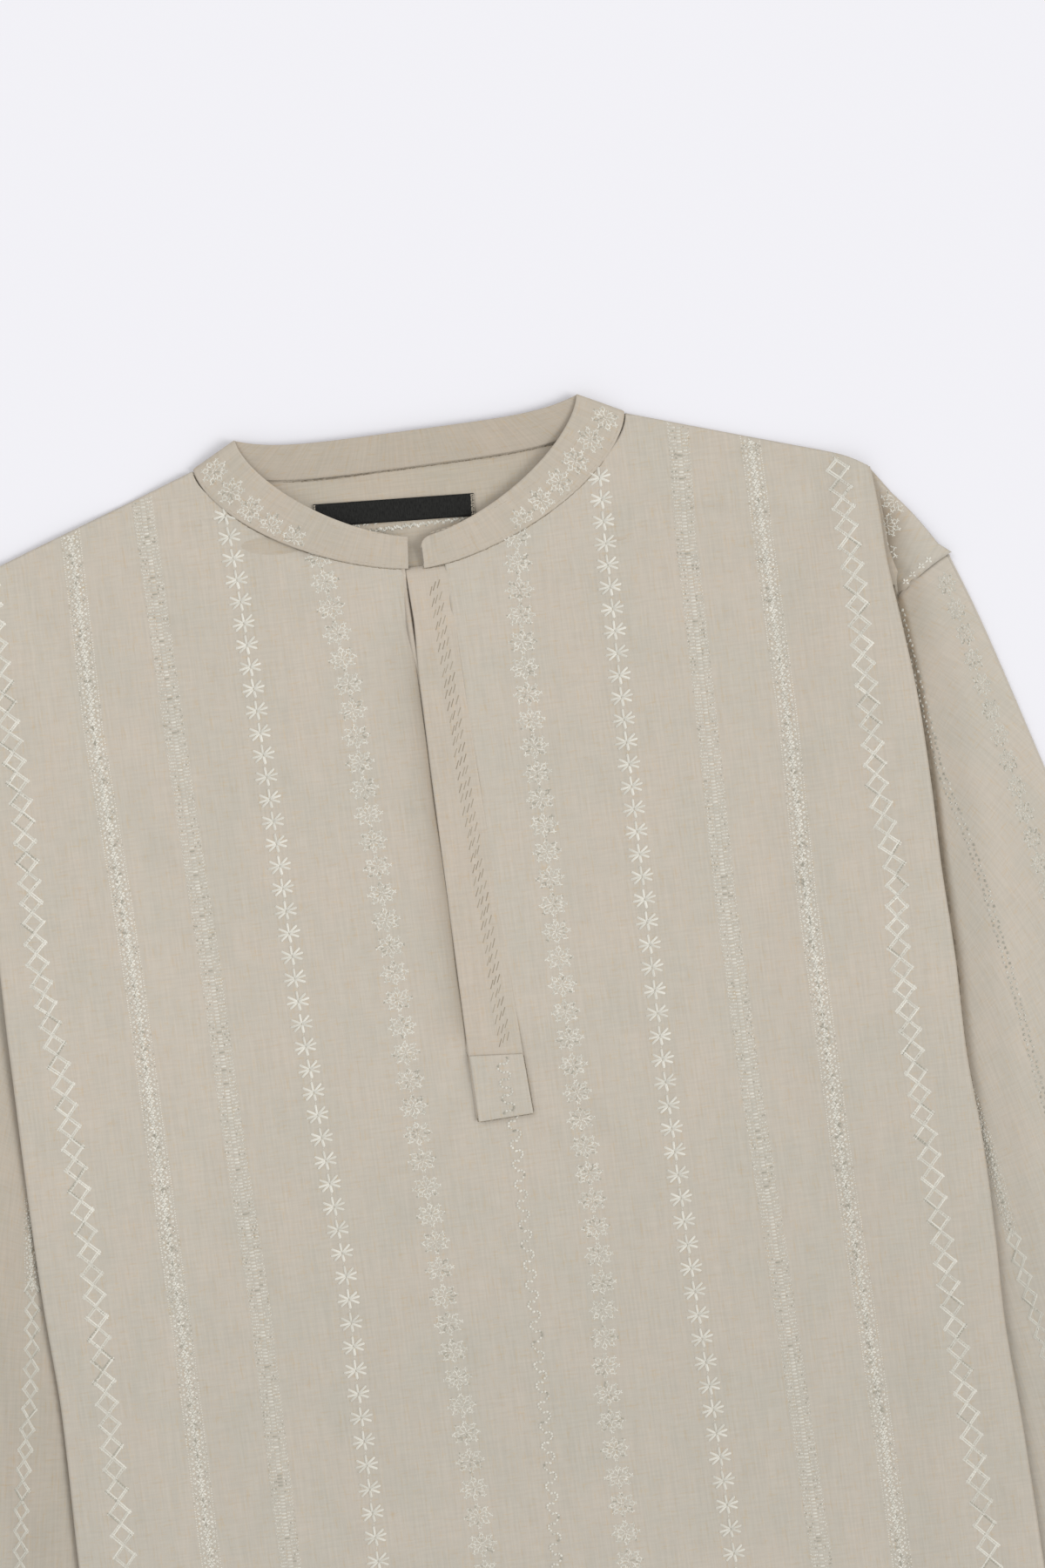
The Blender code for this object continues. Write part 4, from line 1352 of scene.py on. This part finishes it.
def on_band(x, y):
    """On the front of the collar band, inside its edges."""
    reach = np.abs(x)
    seam = round_curve(reach, NECK_HALF, NECK_SIDE_Y, BAND_SEAM_DROP, BAND_SEAM_POWER)
    free_reach = np.minimum(reach, BAND_FREE_HALF - 0.01)
    free = round_curve(free_reach, BAND_FREE_HALF, BAND_FREE_Y, BAND_FREE_DROP, BAND_FREE_POWER)
    side_line = mix(BAND_FREE_Y, NECK_SIDE_Y, (reach - BAND_FREE_HALF) / (NECK_HALF - BAND_FREE_HALF))
    top = np.where(reach < BAND_FREE_HALF, free, side_line)
    return (y > seam + 0.8) & (y < top - 0.8) & (reach < NECK_HALF - 0.8)


def embroider_collar(material):
    threads = Threads(collar_front_surface(), 51)
    pitch = 14.3
    for table in COLLAR_STRIPES:
        places = np.array(table, float)[:, ::-1]
        run = run_along(places)
        for distance in np.arange(3.0, run[-1], pitch):
            centre = place_at(distance, run, places)
            behind = place_at(distance - 4, run, places)
            threads.add(flower(pitch), centre, centre - behind + 1e-6, FLOWER_TONE)
    threads.mesh("EmbroideryCollar", material, on_band)


def mark_placket(material):
    """The back of a winding stripe, as small slanted dark marks pressed into the upper strip."""
    threads = Threads(lambda x, y: placket_middle(x, y) + DOUBLED / 2, 61)
    for y in np.arange(-9.0, -263.0, -6.4):
        line_x = mix(3.5, 8.0, -y / 262.0)
        for u, v in ((-2.4, -1.7), (-0.2, -0.2), (2.1, 1.4)):
            middle = np.array((line_x + u, y + v)) + threads.random.normal(0, 0.25, 2)
            threads.add([(-1.1, -2.7, 1.1, 2.7, 1.1, 0.05)], middle, (0.0, 1.0), (0.35, 1.1, 0.0))
    threads.mesh("PlacketMarks", material)


def embroider_box(material):
    threads = Threads(lambda x, y: box_middle(x, y) + DOUBLED / 2, 62)
    for y in np.arange(-272.0, -300.0, -8.6):
        threads.add(curls(8.0), np.array((5.5, y)), (0.02, 1.0), (0.45, 0.8, 0.2))
    threads.mesh("EmbroideryBox", material, lambda x, y: (y > BOX_END_Y + 1) & (y < BOX_TOP_Y - 1))


def embroider_back(material):
    """The front's stripes again, on the face that lies on the table, but for the outermost."""
    seam = armhole(np.linspace(0, 1, 80))

    def on_back(x, y):
        at_arm = np.interp(y, seam[:, 1], seam[:, 0]) - 2.0
        edge = np.where(y > UNDERARM[1], at_arm, from_table(SIDE_SEAM, y) - 1.5)
        return (y < yoke_seam_y(x) - 1.5) & (np.abs(x) < edge) & (y > HEM_Y + 1)

    threads = Threads(lambda x, y: back_level(x, y) - CLOTH / 2, 71, side=-1.0)
    for kind, table in FRONT_STRIPES:
        if kind != "diamond":
            sew_stripe(threads, kind, table)
    for block in threads.bars:
        block[:, 5] *= 0.3
    threads.mesh("EmbroideryBack", material, on_back)


# Running stitches: length, gap, width and height. Those of a drawn line overlap into a dark line of painted
# shadow.
RUNNING = (2.2, 0.9, 0.45, 0.12)
SECOND_RUNNING = (2.2, 0.9, 0.45, 0.08)
NECK_SHADOW_LINE = (2.0, -0.3, 0.6, 0.22)
BOX_SHADOW_LINE = (2.0, -0.3, 0.5, 0.25)
BACK_SHADOW_LINE = (2.0, -0.3, 0.8, 0.3)


def sew_line(threads, places, stitch, tone=(0.0, 1.0, 0.0)):
    """A row of stitches along a line of places."""
    length, gap, width, height = stitch
    places = np.asarray(places, float)
    run = run_along(places)
    for start in np.arange(0.5, run[-1] - length, length + gap):
        ends = np.array([place_at(distance, run, places) for distance in (start, start + length)])
        threads.add([(0, -length / 2, 0, length / 2, width, height)], ends.mean(0), ends[1] - ends[0], tone)


def band_edge_line(side, inset, first):
    """A line just inside the seam edge of the band's front."""
    places = []
    for share in np.linspace(first, 0.985, 60):
        seam, free = (np.array(place[:2]) for place in band_front(share, side))
        places.append(seam + (free - seam) / np.hypot(*(free - seam)) * inset)
    return places


def draw_seam_shadow_lines(material):
    """Dark lines of painted shadow in the tight gap along the neck seam and round the sewn edges of the
    placket's box.
    """
    threads = Threads(front_surface, 82)
    for side, first in ((-1, 0.09), (1, -0.02)):
        shares = np.linspace(first, 0.88, 82)
        seam = np.array([band_front(abs(share), side if share > 0 else -side)[0] for share in shares])
        sew_line(threads, seam[:, :2] - (0, 0.35), NECK_SHADOW_LINE)
    left_top, right_top, left_end, right_end = (np.array(corner) for corner in BOX_CORNERS)
    edge = [
        left_top + (-0.4, 0), left_end + (-0.4, 0.2), left_end + (0.2, -0.4),
        right_end + (-0.2, -0.4), right_end + (0.4, 0.2), right_top + (0.4, 0)]
    sew_line(threads, edge, BOX_SHADOW_LINE, (0.3, 1.0, 0.0))
    threads.mesh("SeamShadowLines", material)


# How wide the painted shade at the foot of the fold is, as y and width.
PAINTED_FOOT_SHADE_WIDTHS = ((-36, 0.9), (-60, 1.6), (-110, 2.3), (-180, 2.5), (-260, 1.5), (-345, 0.6))


def draw_painted_crease_shade(material):
    """Painted shade: dark strips along the tight foot of the body's fold, where it presses on the wearer's left
    sleeve.
    """
    threads = Threads(sleeve_surface(1), 83)
    for y in np.arange(-36.0, -345.0, -1.7):
        width = float(from_table(PAINTED_FOOT_SHADE_WIDTHS, y))
        x = float(fold_x(y) + fold_shift(1, y)) + 0.4 + width * 0.35
        threads.add([(0, -1.6, 0, 1.6, width, 0.1)], np.array((x, y)), (-0.05, 1.0), (0.0, 0.5, 0.0))
    threads.mesh("PaintedCreaseShade", material)


def yoke_face(x, y):
    return yoke_level(x, y) + CLOTH / 2


def below_label(x, y):
    along, down = math.cos(LABEL_TILT), math.sin(LABEL_TILT)
    return (y - LABEL_CENTRE[1]) * along - (x - LABEL_CENTRE[0]) * down < 0.4 - LABEL_SIZE[1] / 2


def embroider_yoke(material):
    """The crosswise stripe of the yoke, below the label."""
    threads = Threads(yoke_face, 91, light=0.98)
    pitch = 4.7
    for x in np.arange(-48.0, 48.0, pitch):
        threads.add(knots(pitch), np.array((x, 28.2)), (1.0, 0.02), (0.5, 1.0, 0.1))
    threads.mesh("EmbroideryYoke", material, below_label)


def draw_back_seam_shadow(material):
    """A dark line of painted shadow along the seam of the back of the band."""
    threads = Threads(yoke_face, 93)
    seam = np.array([band_back(share)[0][:2] for share in np.linspace(-0.86, 0.86, 120)])
    sew_line(threads, seam - (0, 0.75), BACK_SHADOW_LINE)
    threads.mesh("BackSeamShadow", material)


def sew_label(material):
    """The stitched ends of the label."""
    threads = Threads(lambda x, y: label_level(x, y) + TAPE / 2, 92)
    along = (-math.sin(LABEL_TILT), math.cos(LABEL_TILT))
    for v in np.arange(-5.6, 5.7, 0.62):
        for u in (42.6, 43.6, -43.4):
            threads.add([(-0.55, 0, 0.55, 0, 0.5, 0.12)], np.array(label_place(u, v)), along, (0.6, 1.0, 0.0))
    threads.mesh("LabelEnds", material)


def sew_collar(material):
    """Two rows of stitches round the front of the band, one by each edge."""
    threads = Threads(collar_front_surface(), 81)
    for side, first in ((-1, 0.1), (1, 0.02)):
        sew_line(threads, band_edge_line(side, 1.6, first), RUNNING)
        sew_line(threads, band_edge_line(side, 18.0, first + 0.03), SECOND_RUNNING)
    threads.mesh("StitchesCollar", material)


# Stage: the floor's half width and level, the sky's strength, and each sun's strength, lean and turn.
FLOOR_HALF = 16.0
FLOOR_Z = -0.0003
SKY_STRENGTH = 0.74
SUN_WIDTH = 30
SUNS = (("Key", 1.22, 14.5, 48.0), ("Fill", 0.56, -32.0, -38.0))
CLIP_END = 60.0


def make_floor():
    mesh = bpy.data.meshes.new("Floor")
    corners = [(x * FLOOR_HALF, y * FLOOR_HALF, FLOOR_Z) for x, y in ((-1, -1), (1, -1), (1, 1), (-1, 1))]
    mesh.from_pydata(corners, [], [(0, 1, 2, 3)])
    material, _, shader = new_material("Pale floor", roughness=1.0, specular=0.0)
    shader.inputs["Base Color"].default_value = (0.80, 0.795, 0.832, 1.0)
    mesh.materials.append(material)
    add_object("Floor", mesh)


def make_lights():
    world = bpy.data.worlds.new("Soft studio")
    bpy.context.scene.world = world
    world.use_nodes = True
    background = world.node_tree.nodes["Background"]
    background.inputs["Color"].default_value = (1.0, 1.0, 1.0, 1.0)
    background.inputs["Strength"].default_value = SKY_STRENGTH
    for name, energy, lean, turn in SUNS:
        light = bpy.data.lights.new(name, "SUN")
        light.energy = energy
        light.angle = math.radians(SUN_WIDTH)
        add_object(name, light).rotation_euler = (math.radians(lean), math.radians(turn), 0.0)


def make_camera():
    data = bpy.data.cameras.new("Camera")
    data.sensor_fit = "VERTICAL"
    data.sensor_height = SENSOR
    data.lens = LENS
    data.clip_end = CLIP_END
    camera = add_object("Camera", data)
    distance = VIEW_LENGTH * LENS / SENSOR
    camera.location = (VIEW_CENTRE[0] * MM, (VIEW_CENTRE[1] - MIDDLE_Y) * MM, (distance + SECOND) * MM)
    camera.rotation_euler = (0.0, 0.0, VIEW_TURN)
    bpy.context.scene.camera = camera


def main():
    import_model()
    linen = linen_material("Slub linen")
    reverse = linen_material("Linen reverse", (0.985, 0.965, 0.95))
    # The yoke's linen is tinted darker and warmer: painted shade inside the neck.
    inner = linen_material("Linen with painted neck shade", (0.93, 0.905, 0.87))
    # The collar's linen is tinted a little darker: painted shade.
    doubled = linen_material("Collar linen with painted shade", (0.965, 0.945, 0.925))
    thread = thread_material("Pale thread", (0.33, 0.31, 0.25), (0.79, 0.765, 0.69))
    sewing = thread_material("Sewing thread", (0.40, 0.34, 0.26), (0.52, 0.46, 0.37), 0.8)
    # Dark thread for the placket's needle marks, and for the painted shade lines along seams and the fold's
    # foot.
    needle_marks_and_painted_shade = thread_material("Needle marks and painted shade lines", (0.22, 0.18, 0.13), (0.36, 0.31, 0.24), 0.9)
    caps = make_front(linen)
    make_yoke(inner)
    make_back(linen)
    make_sleeve("SleeveLeft", 1, "sleeve_left", linen)
    make_sleeve("SleeveRight", -1, "sleeve_right", linen)
    make_collar(doubled)
    make_placket_under(reverse)
    make_placket_over(reverse)
    make_box(linen)
    make_label(label_material())
    embroider_front(thread)
    embroider_sleeve("EmbroiderySleeveLeft", 1, LEFT_SLEEVE_STRIPES, thread)
    embroider_sleeve("EmbroiderySleeveRight", -1, RIGHT_SLEEVE_STRIPES, thread)
    embroider_collar(thread)
    embroider_caps(caps, thread)
    embroider_box(thread)
    embroider_back(thread)
    mark_placket(needle_marks_and_painted_shade)
    draw_seam_shadow_lines(needle_marks_and_painted_shade)
    draw_painted_crease_shade(needle_marks_and_painted_shade)
    embroider_yoke(thread)
    draw_back_seam_shadow(needle_marks_and_painted_shade)
    sew_label(sewing)
    sew_collar(sewing)
    make_floor()
    make_lights()
    make_camera()
    bpy.context.scene.view_settings.view_transform = "Standard"


main()
